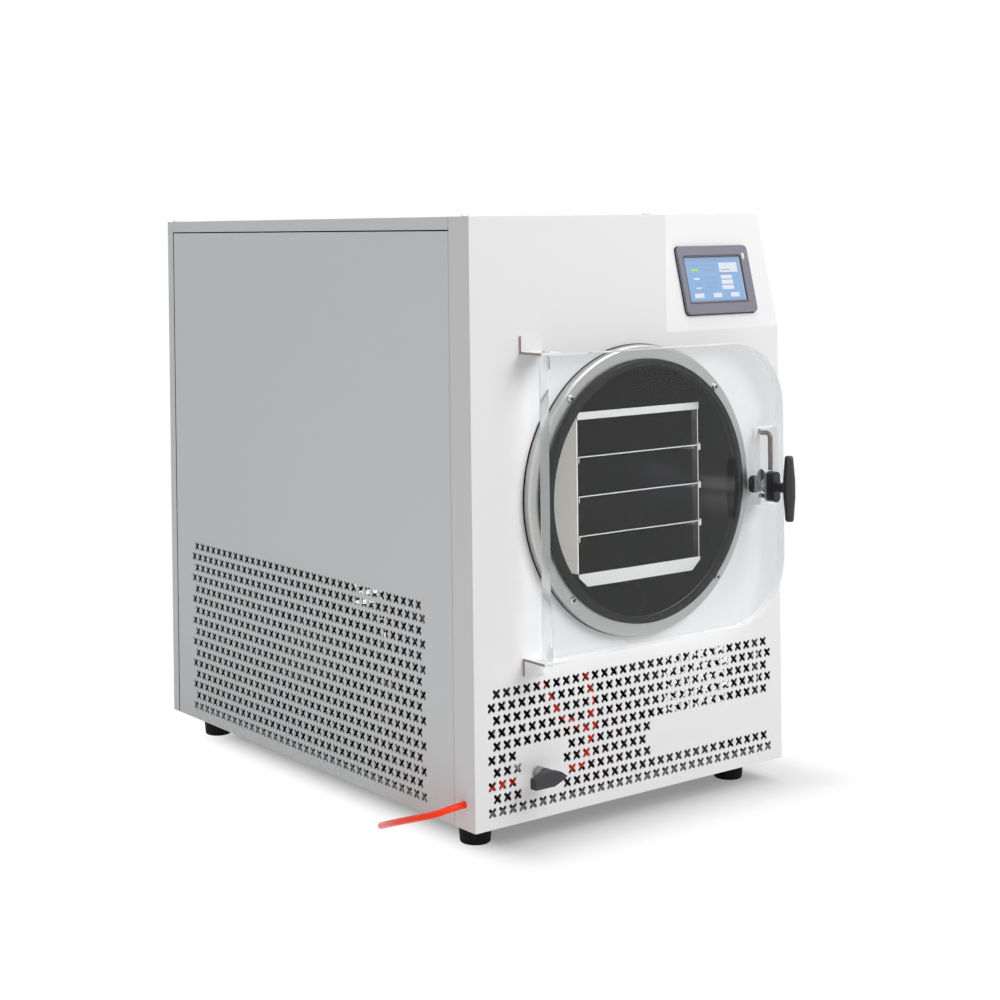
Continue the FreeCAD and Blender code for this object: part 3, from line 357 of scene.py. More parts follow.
def ribs_tree():
    """Set ribs round a cylinder that points along Y."""
    tree, given = new_tree("Ribs round a cylinder", [
        ("Ribs", "Int"), ("Radius", "Float"), ("Rib size", "Vector"), ("Centre", "Vector"),
        ("Finish", "Material")])
    ring = add_node(tree, "GeometryNodeMeshCircle", inputs={
        "Vertices": given["Ribs"], "Radius": given["Radius"]})
    rib = add_node(tree, "GeometryNodeMeshCube", inputs={"Size": given["Rib size"]})
    spot = add_node(tree, "GeometryNodeInputPosition")
    facing = add_node(tree, "FunctionNodeAlignRotationToVector", {"axis": "X"}, {
        "Vector": spot.outputs["Position"]})
    placed = add_node(tree, "GeometryNodeInstanceOnPoints", inputs={
        "Points": ring.outputs["Mesh"], "Instance": rib.outputs["Mesh"],
        "Rotation": facing.outputs["Rotation"]})
    upright = add_node(tree, "GeometryNodeTransform", inputs={
        "Geometry": placed.outputs["Instances"], "Rotation": TO_FRONT,
        "Translation": given["Centre"]})
    return end_tree(tree, upright.outputs["Geometry"], given["Finish"])


def run_tree(piece, tree, values):
    """Run a geometry tree on a piece and keep the result as its plain mesh."""
    modifier = piece.modifiers.new(tree.name, "NODES")
    modifier.node_group = tree
    for item in tree.interface.items_tree:
        if item.in_out == "INPUT" and item.name in values:
            modifier[item.identifier] = values[item.name]
    bpy.context.view_layer.update()
    graph = bpy.context.evaluated_depsgraph_get()
    mesh = bpy.data.meshes.new_from_object(piece.evaluated_get(graph))
    if not mesh.polygons:
        raise RuntimeError(f"{piece.name}: {tree.name} makes nothing")
    piece.modifiers.clear()
    piece.data = mesh
    return piece


def heads_on(name, spots, profile, turn, slot, steps=20):
    """Turn one screw head on a lathe and set it on each spot of the cabinet."""
    head = new_piece(f"{name} head", mesh_from(lathe(profile, steps), name))
    shade(head.data)
    work = bmesh.new()
    for spot in spots:
        work.verts.new(spot)
    piece = new_piece(name, mesh_from(work, name))
    run_tree(piece, bpy.data.node_groups["Heads on points"], {
        "Head": head, "Turn": turn, "Finish": finish_for(slot)})
    bpy.data.objects.remove(head)
    return hand_over(piece, "cabinet")


def ribs_on(name, ribs, radius, size, centre, slot, body):
    """Set ribs round a cylinder that points along Y, as one piece."""
    blank = new_piece(name, bpy.data.meshes.new(name))
    run_tree(blank, bpy.data.node_groups["Ribs round a cylinder"], {
        "Ribs": ribs, "Radius": radius, "Rib size": size, "Centre": centre,
        "Finish": finish_for(slot)})
    return hand_over(blank, body)


# ---------------------------------------------------------------- sizes and colours

class DryerSizes(bpy.types.PropertyGroup):
    """Sizes that a user would change."""

    cross_length: bpy.props.FloatProperty(
        name="Cross hole", description="Length of a punched cross from tip to tip of one bar",
        default=0.0145, min=0.008, max=0.018, unit="LENGTH")
    cross_bar: bpy.props.FloatProperty(
        name="Cross bar", description="Width of a punched cross's bars",
        default=0.0042, min=0.001, max=0.006, unit="LENGTH")
    hole_pitch: bpy.props.FloatProperty(
        name="Hole pitch",
        description="Distance between punched crosses, along and across the rows",
        default=0.015, min=0.012, max=0.03, unit="LENGTH")
    bend_radius: bpy.props.FloatProperty(
        name="Bend radius", description="Outside radius of the cabinet's sheet bends",
        default=0.0018, min=0.0002, max=0.003, unit="LENGTH")
    sheet_edge: bpy.props.FloatProperty(
        name="Sheet edge", description="Rounding of the sheets' cut edges, which shows as seams",
        default=0.0004, min=0.0001, max=0.0007, unit="LENGTH")
    floor_size: bpy.props.FloatProperty(
        name="Floor radius", description="Radius of the stage's floor",
        default=6.0, min=2.0, max=20.0, unit="LENGTH")


class DryerColours(bpy.types.PropertyGroup):
    """Colours that a user would change, as linear values."""

    front: bpy.props.FloatVectorProperty(
        name="Front paint", description="Powder coat of the front sheet and the hinge brackets",
        subtype="COLOR", size=3, default=linear("#F1F0F1"))
    side: bpy.props.FloatVectorProperty(
        name="Side paint", description="Powder coat of the side, top and rear sheets",
        subtype="COLOR", size=3, default=linear("#EDEFF0"))
    tube: bpy.props.FloatVectorProperty(
        name="Drain tube", description="Colour of the drain tube and hoses",
        subtype="COLOR", size=3, default=linear("#FC3809"))
    floor: bpy.props.FloatVectorProperty(
        name="Floor", description="Colour of the stage's floor",
        subtype="COLOR", size=3, default=linear("#F4F4F4"))


# One material for each slot: its name, sRGB colour, roughness, then what makes its look.
FINISHES = {
    # Polyester powder coat: matt white with a fine orange peel, so highlights stay broad.
    "white_paint": ("Powder-coated steel, white", "#F1F0F1", 0.42,
                    {"grain": (1.6, 0.012, (1, 1, 1)), "sockets": {"Specular IOR Level": 0.35}}),
    # The same coat in pale grey: a touch duller, with the same orange peel.
    "grey_paint": ("Powder-coated steel, pale grey", "#EDEFF0", 0.5,
                   {"grain": (1.6, 0.012, (1, 1, 1)), "sockets": {"Specular IOR Level": 0.3}}),
    # Galvanised sheet: zinc with a soft spangle, darkened as painted shade for the inside of the
    # cabinet.
    "zinc_sheet": ("Galvanised steel in painted shade", "#686868", 0.5, {"metallic": 1.0,
                                                         "grain": (6.0, 0.02, (1, 1, 1))}),
    # Turned and brushed stainless steel: satin, with fine lines that stretch its reflections.
    "stainless": ("Brushed stainless steel", "#C2C1BF", 0.3, {"metallic": 1.0,
                                                             "grain": (0.8, 0.004, (1, 0.06, 1))}),
    # Bright chrome plate: mirror-like.
    "chrome": ("Chrome-plated steel", "#D3D3D4", 0.12, {"metallic": 1.0}),
    # Drawn copper tube: warm and half bright.
    "copper": ("Drawn copper", "#C9814F", 0.3, {"metallic": 1.0}),
    # Clear anodised aluminium: pale with a soft sheen.
    "aluminium": ("Anodised aluminium", "#C9CDD4", 0.38, {"metallic": 1.0}),
    # Moulded rubber: nearly black and dull.
    "black_rubber": ("Moulded rubber, black", "#131315", 0.75, {
        "grain": (0.6, 0.01, (1, 1, 1)), "sockets": {"Specular IOR Level": 0.2}}),
    # Closed-cell foam: black, rough, soaks up light.
    "black_foam": ("Closed-cell foam, black", "#161617", 0.95, {"grain": (2.5, 0.3, (1, 1, 1))}),
    # Cast acrylic: clear, a touch grey. Its real IOR is 1.49, and is lower here so that the
    # white surroundings don't veil the dark chamber behind it.
    "clear_acrylic": ("Cast acrylic, clear", "#F0F2F3", 0.0,
                      {"sockets": {"IOR": 1.3, "Transmission Weight": 1.0}}),
    # Moulded ABS, white: smooth and slightly glossy.
    "white_plastic": ("Moulded ABS, white", "#E9E9E6", 0.35, {}),
    # Moulded ABS, black: fine sparked texture, soft highlights.
    "black_plastic": ("Moulded ABS, black", "#2A2A2D", 0.42, {"grain": (0.5, 0.01, (1, 1, 1))}),
    # Painted bezel plastic: mid grey with a violet cast, satin.
    "dark_grey_plastic": ("Moulded ABS, slate grey", "#7A7987", 0.38,
                          {"grain": (0.5, 0.006, (1, 1, 1))}),
    # Lit display behind glass: it glows evenly under a glossy face.
    "screen": ("Lit display", "#86ACD6", 0.15,
               {"sockets": {"Emission Color": (*linear("#8FB4DC"), 1), "Emission Strength": 0.08}}),
    # Polyurethane tube: saturated orange red. Its faint glow stands for light that passes into it.
    "orange_tube": ("Polyurethane tube, orange", "#FC3809", 0.25, {"sockets": {
        "Specular IOR Level": 0.3, "Emission Color": (*linear("#FC3809"), 1),
        "Emission Strength": 0.18}}),
    # Stoved enamel on the compressor: deep black gloss.
    "black_enamel": ("Stoved enamel, black", "#141416", 0.3, {}),
}


# Finishes beside the slots' own, on some faces or pieces of a slot.
EXTRA_FINISHES = (
    # Polished edges of cast acrylic look milky; their faint glow is painted light for what gathers
    # in them.
    ("Cast acrylic, polished edge, painted glow", "#E6ECEC", 0.15, {"sockets": {
        "Alpha": 0.42, "Emission Color": (*linear("#E6ECEC"), 1), "Emission Strength": 0.3}}),
    # The milled walls of the staple's pocket look frosted with a faint glow that is painted light,
    # but the latch behind them still shows.
    ("Cast acrylic, milled pocket, painted glow", "#E9ECEE", 0.5, {"sockets": {
        "Alpha": 0.28, "Emission Color": (*linear("#E9ECEE"), 1), "Emission Strength": 0.35}}),
    # Satin-drawn aluminium: pale and soft, nearly white under wide lamps; on the rack's front faces
    # it is painted light.
    ("Satin aluminium and painted light", "#EFEFEC", 0.5, {"metallic": 0.3}),
    # Stainless steel darkened to grey as painted shade for the chamber's inside; smooth, nearly a
    # mirror.
    ("Stainless steel in painted chamber shade", "#74747B", 0.12, {"metallic": 1.0}),
    # Silicone-coated plate, cream, with a faint glow that is painted light, so it stays pale in the
    # chamber's shade.
    ("Silicone-coated steel, cream, painted glow", "#F1EDE4", 0.5, {
        "sockets": {"Emission Color": (*linear("#F1EDE4"), 1), "Emission Strength": 0.4}}),
    # Laser-cut end of a bracket, brownish grey and dull, darkened as painted shade on the ends that
    # face away from the lamps.
    ("Bracket end, painted shade", "#9A9188", 0.55, {}),
    # Nickel plate over steel: warm grey, half bright.
    ("Nickel-plated steel", "#7F736C", 0.22, {"metallic": 1.0}),
    # Dark paint on the inner face of a sheet is painted shade: dull, so the holes look deep.
    ("Inside face, painted shade", "#3A3B3E", 0.8, {}),
)


def make_finishes(colours):
    """Make every material once, and give the changeable ones their colours."""
    for name, colour, roughness, extra in (*FINISHES.values(), *EXTRA_FINISHES):
        new_finish(name, colour, roughness, **extra)
    for slot, colour in (("white_paint", colours.front), ("grey_paint", colours.side),
                         ("orange_tube", colours.tube)):
        shader = finish_for(slot).node_tree.nodes["Principled BSDF"]
        shader.inputs["Base Color"].default_value = (*colour, 1)


# ---------------------------------------------------------------- pieces

def cross_outline(length, bar):
    """Corners of an X-shaped hole with rounded tips."""
    half = bar / 2
    reach = length / 2 - half
    corners = []
    for quarter in range(4):
        turn = math.radians(45 + 90 * quarter)
        tip = Vector((math.cos(turn), math.sin(turn))) * reach
        for lean in (-90, -30, 30, 90):
            angle = turn + math.radians(lean)
            corners.append(tip + Vector((math.cos(angle), math.sin(angle))) * half)
        notch = turn + math.radians(45)
        corners.append(Vector((math.cos(notch), math.sin(notch))) * half * math.sqrt(2))
    return corners


def weigh_edges(mesh, bend, edge):
    """Give the outside bends a wide rounding and the cut edges a narrow one."""
    work = bmesh.new()
    work.from_mesh(mesh)
    weights = work.edges.layers.float.new("bevel_weight_edge")
    for line in work.edges:
        if len(line.link_faces) == 2 and line.is_convex and line.calc_face_angle() > BENT:
            broad = min(face.calc_area() for face in line.link_faces) > BROAD_FACE
            line[weights] = 1.0 if broad else edge / bend
    work.to_mesh(mesh)
    work.free()


def bent_side(across, inward):
    """A side sheet with a return at each end and a narrow gap to the sheets round it."""
    near, far = FRONT_SHEET_END + SEAM, REAR_SHEET_END - SEAM
    top = COVER_FLANGE_END - COVER_SEAM
    section = [(0, near), (12, near), (12, near + 1.5), (1.5, near + 1.5),
               (1.5, far - 1.5), (12, far - 1.5), (12, far), (0, far)]
    spots = [at(across + inward * away, back, 0) for away, back in section]
    work = prism([(spot.x, -spot.y) for spot in spots], at(0, 0, 0).z, at(0, 0, top).z)
    work.transform(Matrix.Rotation(math.pi / 2, 4, "X"))
    return mesh_from(work, "Bent side sheet")


def paint_shade_inside(piece):
    """Paint the wide faces of a sheet that look into the cabinet dark, as painted shade."""
    piece.data.materials.append(bpy.data.materials["Inside face, painted shade"])
    middle = at(250, 325, 345)
    for face in piece.data.polygons:
        if face.area > WIDE_FACE and face.normal.dot(middle - face.center) > 0.1:
            face.material_index = len(piece.data.materials) - 1


def punched_sheet(node, mesh, first, along, turn, per_row, rows, whole=()):
    """Finish a sheet of the cabinet with its punched grille."""
    sizes = bpy.context.scene.dryer_sizes
    weigh_edges(mesh, sizes.bend_radius, sizes.sheet_edge)
    piece = new_piece(f"{node} finished", mesh)
    edges = piece.modifiers.new("Bends", "BEVEL")
    edges.width = sizes.bend_radius
    edges.segments = 3
    edges.limit_method = "WEIGHT"
    work = prism(cross_outline(sizes.cross_length, sizes.cross_bar), -0.002, 0.0036)
    punch = new_piece("Punch", mesh_from(work, "Punch"))
    values = {"Holes in a long row": per_row, "Rows": rows, "Pitch": sizes.hole_pitch,
              "Row step": sizes.hole_pitch, "First hole": first, "Along": along, "Punch": punch,
              "Punch turn": turn, "Finish": finish_for(SLOT_OF[node])}
    for number, (centre, half) in enumerate(whole, start=1):
        values[f"Whole centre {number}"] = centre
        values[f"Whole half size {number}"] = half
    run_tree(piece, bpy.data.node_groups["Staggered punching"], values)
    bpy.data.objects.remove(punch)
    # The dark inner faces are painted shade, so the holes look deep.
    paint_shade_inside(piece)
    return hand_over(piece, "cabinet", [node])


class PunchedSheets(bpy.types.Operator):
    """Front and side sheets with their staggered cross-shaped holes"""

    bl_idname = "dryer.punched_sheets"
    bl_label = "Punched sheets"

    def execute(self, context):
        valve_space = (at(100, 0, 56.5), (0.034, 1, 0.0265))
        label_space = (at(385, 0, 64), (0.116, 1, 0.019))
        punched_sheet("front_panel", merged_copy("front_panel"), at(25, 0, 154), (1, 0, 0),
                      (0, 0, 0), per_row=31, rows=10, whole=(valve_space, label_space))
        for node, across, inward in (("left_side_panel", 0, 1), ("right_side_panel", 500, -1)):
            punched_sheet(node, bent_side(across, inward), at(across, 97.8, 244), (0, 1, 0),
                          (0, 0, -inward * math.pi / 2), per_row=37, rows=16)
        return {"FINISHED"}


class PlainSheets(bpy.types.Operator):
    """Top cover, rear sheet, base pan, feet and the screws in the top"""

    bl_idname = "dryer.plain_sheets"
    bl_label = "Plain sheets and feet"

    def execute(self, context):
        cover = dress("top_cover", 0.5)
        front = at(0, FRONT_SHEET_END, 0).y
        for corner in cover.data.vertices:
            if corner.co.y < front + 0.0001:
                corner.co.y = front + SEAM / 1000
        # Dark inner faces on the cover and rear sheet are painted shade.
        paint_shade_inside(cover)
        paint_shade_inside(dress("rear_panel", 0.5))
        dress("base_pan", 0.5)
        dress("rubber_feet", 2.0, 3)
        dress("cover_screws", 0.3)
        return {"FINISHED"}


class Chamber(bpy.types.Operator):
    """Chamber shell, flange with its screws, gasket, cooling coil and insulation"""

    bl_idname = "dryer.chamber"
    bl_label = "Chamber"

    def execute(self, context):
        # The chamber's darkened metal is painted shade for its inside.
        dress("chamber_shell", 0.4, finish="Stainless steel in painted chamber shade")
        dress("chamber_end", finish="Stainless steel in painted chamber shade")
        dress("chamber_flange", 0.8, 3)
        dress("door_gasket", 0.8)
        for node in ("evaporator_coil", "chamber_insulation", "chamber_drain"):
            dress(node)
        across, up = CHAMBER_AXIS
        screw_circle = 166
        spread = screw_circle / math.sqrt(2)
        spots = [at(across + side * spread, -11, up + rise * spread)
                 for side in (-1, 1) for rise in (-1, 1)]
        screws = heads_on("Flange screws", spots, [
            (0, 0), (0.0045, 0), (0.0045, 0.0014), (0.0036, 0.0030), (0.0021, 0.0034),
            (0.0021, 0.0012), (0, 0.0012)], TO_FRONT, "chrome")
        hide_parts("flange_screws")
        # A thin black ring where the flange meets the front sheet.
        seal = lathe([(0.170, 0), (0.1757, 0), (0.1757, 0.0014), (0.170, 0.0014)], 96)
        seal.transform(Matrix.Translation(at(across, 0, up)) @ Matrix.Rotation(math.pi / 2, 4, "X"))
        ring = new_piece("Flange seal", mesh_from(seal, "Flange seal", "black_rubber"))
        shade(ring.data)
        hand_over(ring, "cabinet")
        # Black discs at the bottom of the screw heads' recesses are painted shade in the sockets.
        heads_on("Flange screw sockets", spots, [(0, 0.0012), (0.0020, 0.0013), (0, 0.0014)],
                 TO_FRONT, "black_rubber")
        return {"FINISHED"}


class Rack(bpy.types.Operator):
    """Tray rack with its trays, their hooked ends and their screws"""

    bl_idname = "dryer.rack"
    bl_label = "Rack and trays"

    def execute(self, context):
        for node in ("rack_top_plate", "rack_bottom_plate", "rack_uprights",
                     "tray_1", "tray_2", "tray_3"):
            piece = dress(node, 0.4, finish="Stainless steel in painted chamber shade")
            # Front faces get the pale finish and the rest the dark one: painted light on the
            # fronts, painted shade behind.
            piece.data.materials.append(bpy.data.materials["Satin aluminium and painted light"])
            for face in piece.data.polygons:
                face.material_index = int(face.normal.y < -0.5)
        # The left plate's faint glow is painted light.
        dress("rack_left_plate", 0.4, finish="Silicone-coated steel, cream, painted glow")
        dress("rack_runners", 0.4)
        hooks = bmesh.new()
        spots = []
        for rise in (-TRAY_PITCH, 0, TRAY_PITCH):
            slab(hooks, at(347.5, -2.6, 363 + rise), at(350.6, 3, 371 + rise))
            spots.append(at(341, 1.5, 366.6 + rise))
        hooks = new_piece("Tray hooks", mesh_from(hooks, "Tray hooks"))
        hooks.data.materials.append(bpy.data.materials["Satin aluminium and painted light"])
        hand_over(hooks, "cabinet")
        heads_on("Tray screws", spots, [(0, 0), (0.0018, 0), (0.0018, 0.001), (0, 0.0016)],
                 TO_FRONT, "copper", steps=10)
        return {"FINISHED"}


class Door(bpy.types.Operator):
    """Clear acrylic door with its hinge brackets and pins"""

    bl_idname = "dryer.door"
    bl_label = "Door and hinges"

    def execute(self, context):
        plate = dress("door_plate", 1.2, 3)
        plate.visible_shadow = False
        plate.data.materials.append(bpy.data.materials["Cast acrylic, polished edge, painted glow"])
        # The pocket walls' faint glow is painted light.
        plate.data.materials.append(bpy.data.materials["Cast acrylic, milled pocket, painted glow"])
        # Front and back are clear; edges inside these bounds are the staple pocket's walls. The
        # edges' faint glow is painted light.
        low, high = at(385, 0, 320), at(452, 0, 430)
        for face in plate.data.polygons:
            spot = face.center
            pocket = low.x < spot.x < high.x and low.z < spot.z < high.z
            face.material_index = 0 if abs(face.normal.y) > 0.5 else 1 + int(pocket)
        brackets = dress("hinge_brackets", 0.6)
        brackets.data.materials.append(bpy.data.materials["Bracket end, painted shade"])
        # The ends that face -X get the darker finish: painted shade.
        for face in brackets.data.polygons:
            face.material_index = int(face.normal.x < -0.9)
        dress("hinge_pins", 0.4)
        return {"FINISHED"}


class Latch(bpy.types.Operator):
    """Turning latch with its ribbed sleeve, T-handle and staple"""

    bl_idname = "dryer.latch"
    bl_label = "Latch"

    def execute(self, context):
        for node, rounding in (("latch_bush", 0.4), ("latch_shaft", 0.6), ("latch_sleeve", 0.4),
                               ("latch_cam", 0.5), ("latch_end_plate", 0.5), ("latch_washer", 0.6),
                               ("latch_handle", 1.2)):
            dress(node, rounding, 3)
        dress("latch_staple", finish="Nickel-plated steel")
        across, up = LATCH_AXIS
        ribs_on("Sleeve ribs", 16, 0.0084, (0.001, 0.0014, 0.0115), at(across, -16, up),
                "black_plastic", "latch")
        return {"FINISHED"}


class ControlScreen(bpy.types.Operator):
    """Touch screen with a plain generic page, in its bezel on the sloping corner"""

    bl_idname = "dryer.control_screen"
    bl_label = "Control screen"

    def execute(self, context):
        setback, rise = 35, 144
        slope = math.atan2(setback, rise)
        middle = (Matrix.Translation(at(404, 61 * math.tan(slope), 617))
                  @ Matrix.Rotation(math.pi / 2 - slope, 4, "X"))
        aside = Matrix.Translation((-0.0037, 0, 0))
        stance = middle @ aside
        bezel = dress("screen_bezel", 0.9, 3)
        # The window's corners move aside with the display, and the bezel's outer ones stay.
        window_x, window_y = 0.055, 0.037
        for corner in bezel.data.vertices:
            spot = middle.inverted() @ corner.co
            if abs(spot.x) < window_x and abs(spot.y) < window_y:
                corner.co = stance @ spot
        dress("screen_glass").data.transform(stance @ middle.inverted())
        dress("screen_case", 1.0)
        # A flattened black copy of the bezel, a little larger, shows as a thin dark outline round
        # it.
        rim = bezel.data.copy()
        rim.transform(middle @ Matrix.Diagonal((1.012, 1.02, 0.2, 1)) @ middle.inverted())
        rim.materials[0] = finish_for("black_rubber")
        hand_over(new_piece("Bezel seal", rim), "cabinet")
        # Thin black slabs round the display window are painted shade on the window's chamfer.
        work = bmesh.new()
        for left, low, right, high in ((-51, -30.2, 51, -29), (-51, 29.2, 51, 30.2),
                                       (-50, -29.2, -49.2, 29.2), (49.2, -29.2, 51, 29.2)):
            slab(work, (left / 1000, low / 1000, 0.003), (right / 1000, high / 1000, 0.0052),
                 stance)
        hand_over(new_piece("Screen surround", mesh_from(work, "Screen surround", "black_plastic")),
                  "cabinet")
        # The page: boxes as (left, upper, right, lower) shares of the display's width and height.
        face = 0.0036
        edge, width = -0.0488, 0.0976
        top_edge, height = 0.0308, 0.0576
        page = {
            "Page blocks pale": ("#DDE2EA", [
                (0.604, 0.163, 0.934, 0.375), (0.612, 0.44, 0.808, 0.52),
                (0.612, 0.546, 0.818, 0.64), (0.606, 0.666, 0.817, 0.758),
                (0.09, 0.83, 0.255, 0.93), (0.424, 0.83, 0.577, 0.93),
                (0.736, 0.83, 0.889, 0.93), (0.124, 0.487, 0.224, 0.527), (0.134, 0.70, 0.23, 0.73),
                (0.0, 0.0, 1.0, 0.022), (0.0, 0.0, 0.012, 1.0), (0.988, 0.0, 1.0, 1.0)]),
            "Page bars dim": ("#93A6C8", [
                (0.02, 0.06, 0.97, 0.115), (0.06, 0.19, 0.22, 0.215), (0.33, 0.19, 0.52, 0.215),
                (0.33, 0.30, 0.52, 0.325), (0.33, 0.48, 0.54, 0.505), (0.34, 0.585, 0.54, 0.61),
                (0.34, 0.69, 0.54, 0.715), (0.64, 0.31, 0.80, 0.33), (0.62, 0.385, 0.82, 0.405),
                (0.10, 0.42, 0.22, 0.44), (0.12, 0.62, 0.23, 0.64), (0.05, 0.79, 0.30, 0.80)]),
            "Page mark green": ("#B4E04E", [(0.10, 0.29, 0.227, 0.335)]),
        }
        for depth, (name, (colour, boxes)) in enumerate(page.items()):
            finish = new_finish(name, colour, 0.2, sockets={
                "Emission Color": (*linear(colour), 1), "Emission Strength": 0.04})
            work = bmesh.new()
            top = face + 0.0001 * (depth + 1)
            for left, upper, right, lower in boxes:
                slab(work, (edge + width * left, top_edge - height * lower, face),
                     (edge + width * right, top_edge - height * upper, top), stance)
            mesh = mesh_from(work, name)
            mesh.materials.append(finish)
            hand_over(new_piece(name, mesh), "cabinet")
        # A small white dome at the display's top right corner is a painted highlight on the bezel,
        # shaped like a status lamp.
        work = lathe([(0, 0), (0.0022, 0), (0.0022, 0.0004), (0.0014, 0.0009), (0, 0.001)], 20)
        place = Matrix.Translation((0.0551, 0.0292, 0.0049))
        work.transform(stance @ place @ Matrix.Diagonal((1, 2, 1, 1)))
        lamp = new_piece("Screen lamp", mesh_from(work, "Screen lamp", "white_plastic"))
        shade(lamp.data)
        hand_over(lamp, "cabinet")
        return {"FINISHED"}


class Drain(bpy.types.Operator):
    """Drain valve, its lever and the orange hoses and tube"""

    bl_idname = "dryer.drain"
    bl_label = "Drain valve and tube"

    def execute(self, context):
        dress("valve_body", 0.4)
        nut = dress("valve_nut", 0.4, finish="Nickel-plated steel")
        across, up = VALVE_AXIS
        axis = Matrix.Translation(at(across, 0, up))
        slimmer = Matrix.Diagonal((0.84, 1, 0.84, 1))
        nut.data.transform(axis @ slimmer @ axis.inverted())
        dress("valve_lever", 1.6, 3)
        dress("drain_hose")
        dress("chamber_hoses")
        ribs_on("Nut knurling", 20, 0.0067, (0.0009, 0.0011, 0.0105), at(across, -6.5, up),
                "chrome", "cabinet")

        run = [(1.3, 20, 29), (-17, 20, 28.3), (-34, 28.5, 22.3), (-43, 46, 16.2), (-45, 71, 7.2),
               (-42, 99, -3.2), (-33, 128, -14.2), (-21.5, 156, -25.2)]
        line = bpy.data.curves.new("Drain tube", "CURVE")
        line.dimensions = "3D"
        line.resolution_u = 12
        path = line.splines.new("NURBS")
        path.points.add(len(run) - 1)
        for point, spot in zip(path.points, run):
            point.co = (*at(*spot), 1)
        path.order_u = 3
        path.use_endpoint_u = True
        tube = new_piece("Drain tube", line)
        bpy.context.view_layer.update()
        graph = context.evaluated_depsgraph_get()
        thread = bpy.data.meshes.new_from_object(tube.evaluated_get(graph))
        bpy.data.meshes.remove(thread)
        line.bevel_depth = 0.004
        line.bevel_resolution = 5
        line.use_fill_caps = True
        line.materials.append(finish_for("orange_tube"))
        hand_over(tube, "cabinet", ["drain_tube"])
        return {"FINISHED"}


class CoolingUnit(bpy.types.Operator):
    """Compressor, condenser, fan, pipes and the parts at the rear"""

    bl_idname = "dryer.cooling_unit"
    bl_label = "Cooling unit and rear fittings"

    def execute(self, context):
        for node in ("compressor", "compressor_grommets", "condenser", "fan_motor",
                     "discharge_pipe", "liquid_pipe", "filter_drier", "vacuum_pipe"):
            dress(node)
        for node in ("fan_shroud", "motor_bracket", "fan_blades", "vacuum_port", "control_box",
                     "mains_inlet", "switch_frame", "switch_rocker"):
            dress(node, 0.5)
        return {"FINISHED"}


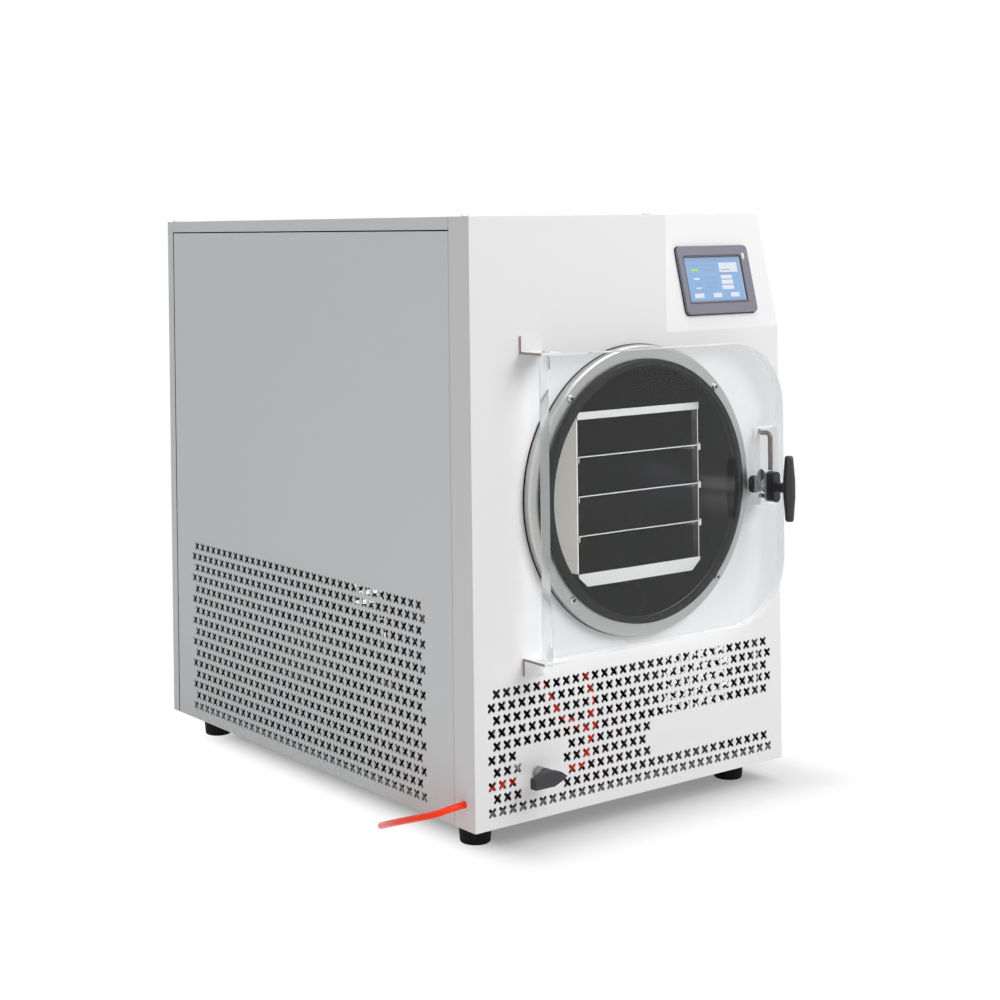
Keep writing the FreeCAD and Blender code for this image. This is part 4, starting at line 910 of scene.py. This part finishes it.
class Stage(bpy.types.Operator):
    """Pale floor, soft lamps, white surroundings and the camera"""

    bl_idname = "dryer.stage"
    bl_label = "Stage"

    def execute(self, context):
        scene = context.scene
        scene.view_settings.view_transform = "Standard"
        work = bmesh.new()
        bmesh.ops.create_circle(
            work, cap_ends=True, segments=96, radius=scene.dryer_sizes.floor_size)
        floor = new_piece("Floor", mesh_from(work, "Floor"))
        floor.data.materials.append(self.floor_finish(scene.dryer_colours.floor))

        self.lamp("Key softbox", (1.2, -2.6, 2.6), (0.0, -0.2, 0.35), size=2.2, power=66)
        self.lamp("Side softbox", (-2.8, -0.6, 1.8), (0.0, 0.0, 0.35), size=2.0, power=3)
        self.lamp("Top softbox", (0.0, 0.1, 3.2), (0.0, 0.0, 0.3), size=2.4, power=36)

        world = bpy.data.worlds.new("Studio")
        world.use_nodes = True
        tree = world.node_tree
        tree.nodes.clear()
        seen = self.seen_by(tree)
        soft = add_node(tree, "ShaderNodeBackground", inputs={
            "Color": (1, 1, 1, 1), "Strength": 0.31})
        white = add_node(tree, "ShaderNodeBackground", inputs={
            "Color": (1, 1, 1, 1), "Strength": 1.0})
        mixed = add_node(tree, "ShaderNodeMixShader", inputs={0: seen, 1: soft.outputs[0],
                                                              2: white.outputs[0]})
        add_node(tree, "ShaderNodeOutputWorld", inputs={"Surface": mixed.outputs[0]})
        scene.world = world

        # The camera is nearly level and its frame is shifted, so upright lines stay parallel.
        lens = bpy.data.cameras.new("Camera")
        lens.sensor_width = 36
        lens.lens = 67.367
        lens.shift_x = 0.09894
        lens.shift_y = -0.25357
        lens.clip_end = 50
        camera = bpy.data.objects.new("Camera", lens)
        camera.location = (-1.54467, -1.99479, 0.71932)
        camera.rotation_euler = [math.radians(angle) for angle in (89.39134, 0.69746, -35.72467)]
        scene.collection.objects.link(camera)
        scene.camera = camera
        return {"FINISHED"}

    def lamp(self, name, place, target, size, power):
        """A square soft lamp that points at a target."""
        light = bpy.data.lights.new(name, "AREA")
        light.size = size
        light.energy = power
        lamp = bpy.data.objects.new(name, light)
        lamp.location = place
        lamp.rotation_euler = (Vector(target) - Vector(place)).to_track_quat("-Z", "Y").to_euler()
        bpy.context.scene.collection.objects.link(lamp)

    def seen_by(self, tree):
        """1 for camera, glossy and transmission rays that no matt surface has scattered, else 0."""
        rays = add_node(tree, "ShaderNodeLightPath")
        first = add_node(tree, "ShaderNodeMath", {"operation": "MAXIMUM"}, {
            0: rays.outputs["Is Camera Ray"], 1: rays.outputs["Is Glossy Ray"]})
        both = add_node(tree, "ShaderNodeMath", {"operation": "MAXIMUM"}, {
            0: first.outputs[0], 1: rays.outputs["Is Transmission Ray"]})
        straight = add_node(tree, "ShaderNodeMath", {"operation": "LESS_THAN"}, {
            0: rays.outputs["Diffuse Depth"], 1: 0.5})
        return add_node(tree, "ShaderNodeMath", {"operation": "MULTIPLY"}, {
            0: both.outputs[0], 1: straight.outputs[0]}).outputs[0]

    def floor_finish(self, colour):
        """Matt pale floor that turns to plain white away from the object, past its shadow."""
        middle, half_size, soft_edge, least_white = (0.05, -0.03, 0), (0.23, 0.31, 0), 0.075, 0.25
        material = bpy.data.materials.new("Painted floor, matt")
        material.use_nodes = True
        tree = material.node_tree
        tree.nodes.clear()
        matt = add_node(tree, "ShaderNodeBsdfDiffuse", inputs={"Color": (*colour, 1)})
        white = add_node(tree, "ShaderNodeEmission", inputs={
            "Color": (1, 1, 1, 1), "Strength": 1.0})
        place = add_node(tree, "ShaderNodeTexCoord")
        moved = add_node(tree, "ShaderNodeVectorMath", {"operation": "SUBTRACT"}, {
            0: place.outputs["Object"], 1: middle})
        spread = add_node(tree, "ShaderNodeVectorMath", {"operation": "ABSOLUTE"}, {
            0: moved.outputs["Vector"]})
        past = add_node(tree, "ShaderNodeVectorMath", {"operation": "SUBTRACT"}, {
            0: spread.outputs["Vector"], 1: half_size})
        outside = add_node(tree, "ShaderNodeVectorMath", {"operation": "MAXIMUM"}, {
            0: past.outputs["Vector"], 1: (0, 0, 0)})
        far = add_node(tree, "ShaderNodeVectorMath", {"operation": "LENGTH"}, {
            0: outside.outputs["Vector"]})
        fade = add_node(tree, "ShaderNodeMapRange", {"interpolation_type": "SMOOTHSTEP"}, {
            "Value": far.outputs["Value"], "From Min": 0.0, "From Max": soft_edge,
            "To Min": least_white})
        seen = add_node(tree, "ShaderNodeMath", {"operation": "MULTIPLY"}, {
            0: fade.outputs["Result"], 1: self.seen_by(tree)})
        mixed = add_node(tree, "ShaderNodeMixShader", inputs={
            0: seen.outputs[0], 1: matt.outputs[0], 2: white.outputs[0]})
        add_node(tree, "ShaderNodeOutputMaterial", inputs={"Surface": mixed.outputs[0]})
        return material


class DryerPanel(bpy.types.Panel):
    """Lists the pieces in the 3D view's sidebar"""

    bl_label = "Freeze dryer"
    bl_idname = "DRYER_PT_pieces"
    bl_space_type = "VIEW_3D"
    bl_region_type = "UI"
    bl_category = "Freeze dryer"

    def draw(self, context):
        for group in (context.scene.dryer_sizes, context.scene.dryer_colours):
            for name in group.__annotations__:
                self.layout.prop(group, name)
        for piece in PIECES:
            self.layout.operator(piece.bl_idname)


PIECES = (PunchedSheets, PlainSheets, Chamber, Rack, Door, Latch, ControlScreen, Drain,
          CoolingUnit, Stage)
CLASSES = (DryerSizes, DryerColours, *PIECES, DryerPanel)


def register():
    """Register the classes and hang the settings on the scene."""
    for kind in CLASSES:
        bpy.utils.register_class(kind)
    bpy.types.Scene.dryer_sizes = bpy.props.PointerProperty(type=DryerSizes)
    bpy.types.Scene.dryer_colours = bpy.props.PointerProperty(type=DryerColours)


def unregister():
    """Take the settings and the classes away again."""
    del bpy.types.Scene.dryer_colours
    del bpy.types.Scene.dryer_sizes
    for kind in reversed(CLASSES):
        bpy.utils.unregister_class(kind)


def main():
    """Build every piece and the stage."""
    register()
    make_finishes(bpy.context.scene.dryer_colours)
    punching_tree()
    heads_tree()
    ribs_tree()
    bpy.ops.dryer.punched_sheets()
    bpy.ops.dryer.plain_sheets()
    bpy.ops.dryer.chamber()
    bpy.ops.dryer.rack()
    bpy.ops.dryer.door()
    bpy.ops.dryer.latch()
    bpy.ops.dryer.control_screen()
    bpy.ops.dryer.drain()
    bpy.ops.dryer.cooling_unit()
    bpy.ops.dryer.stage()


if __name__ == "__main__":
    main()
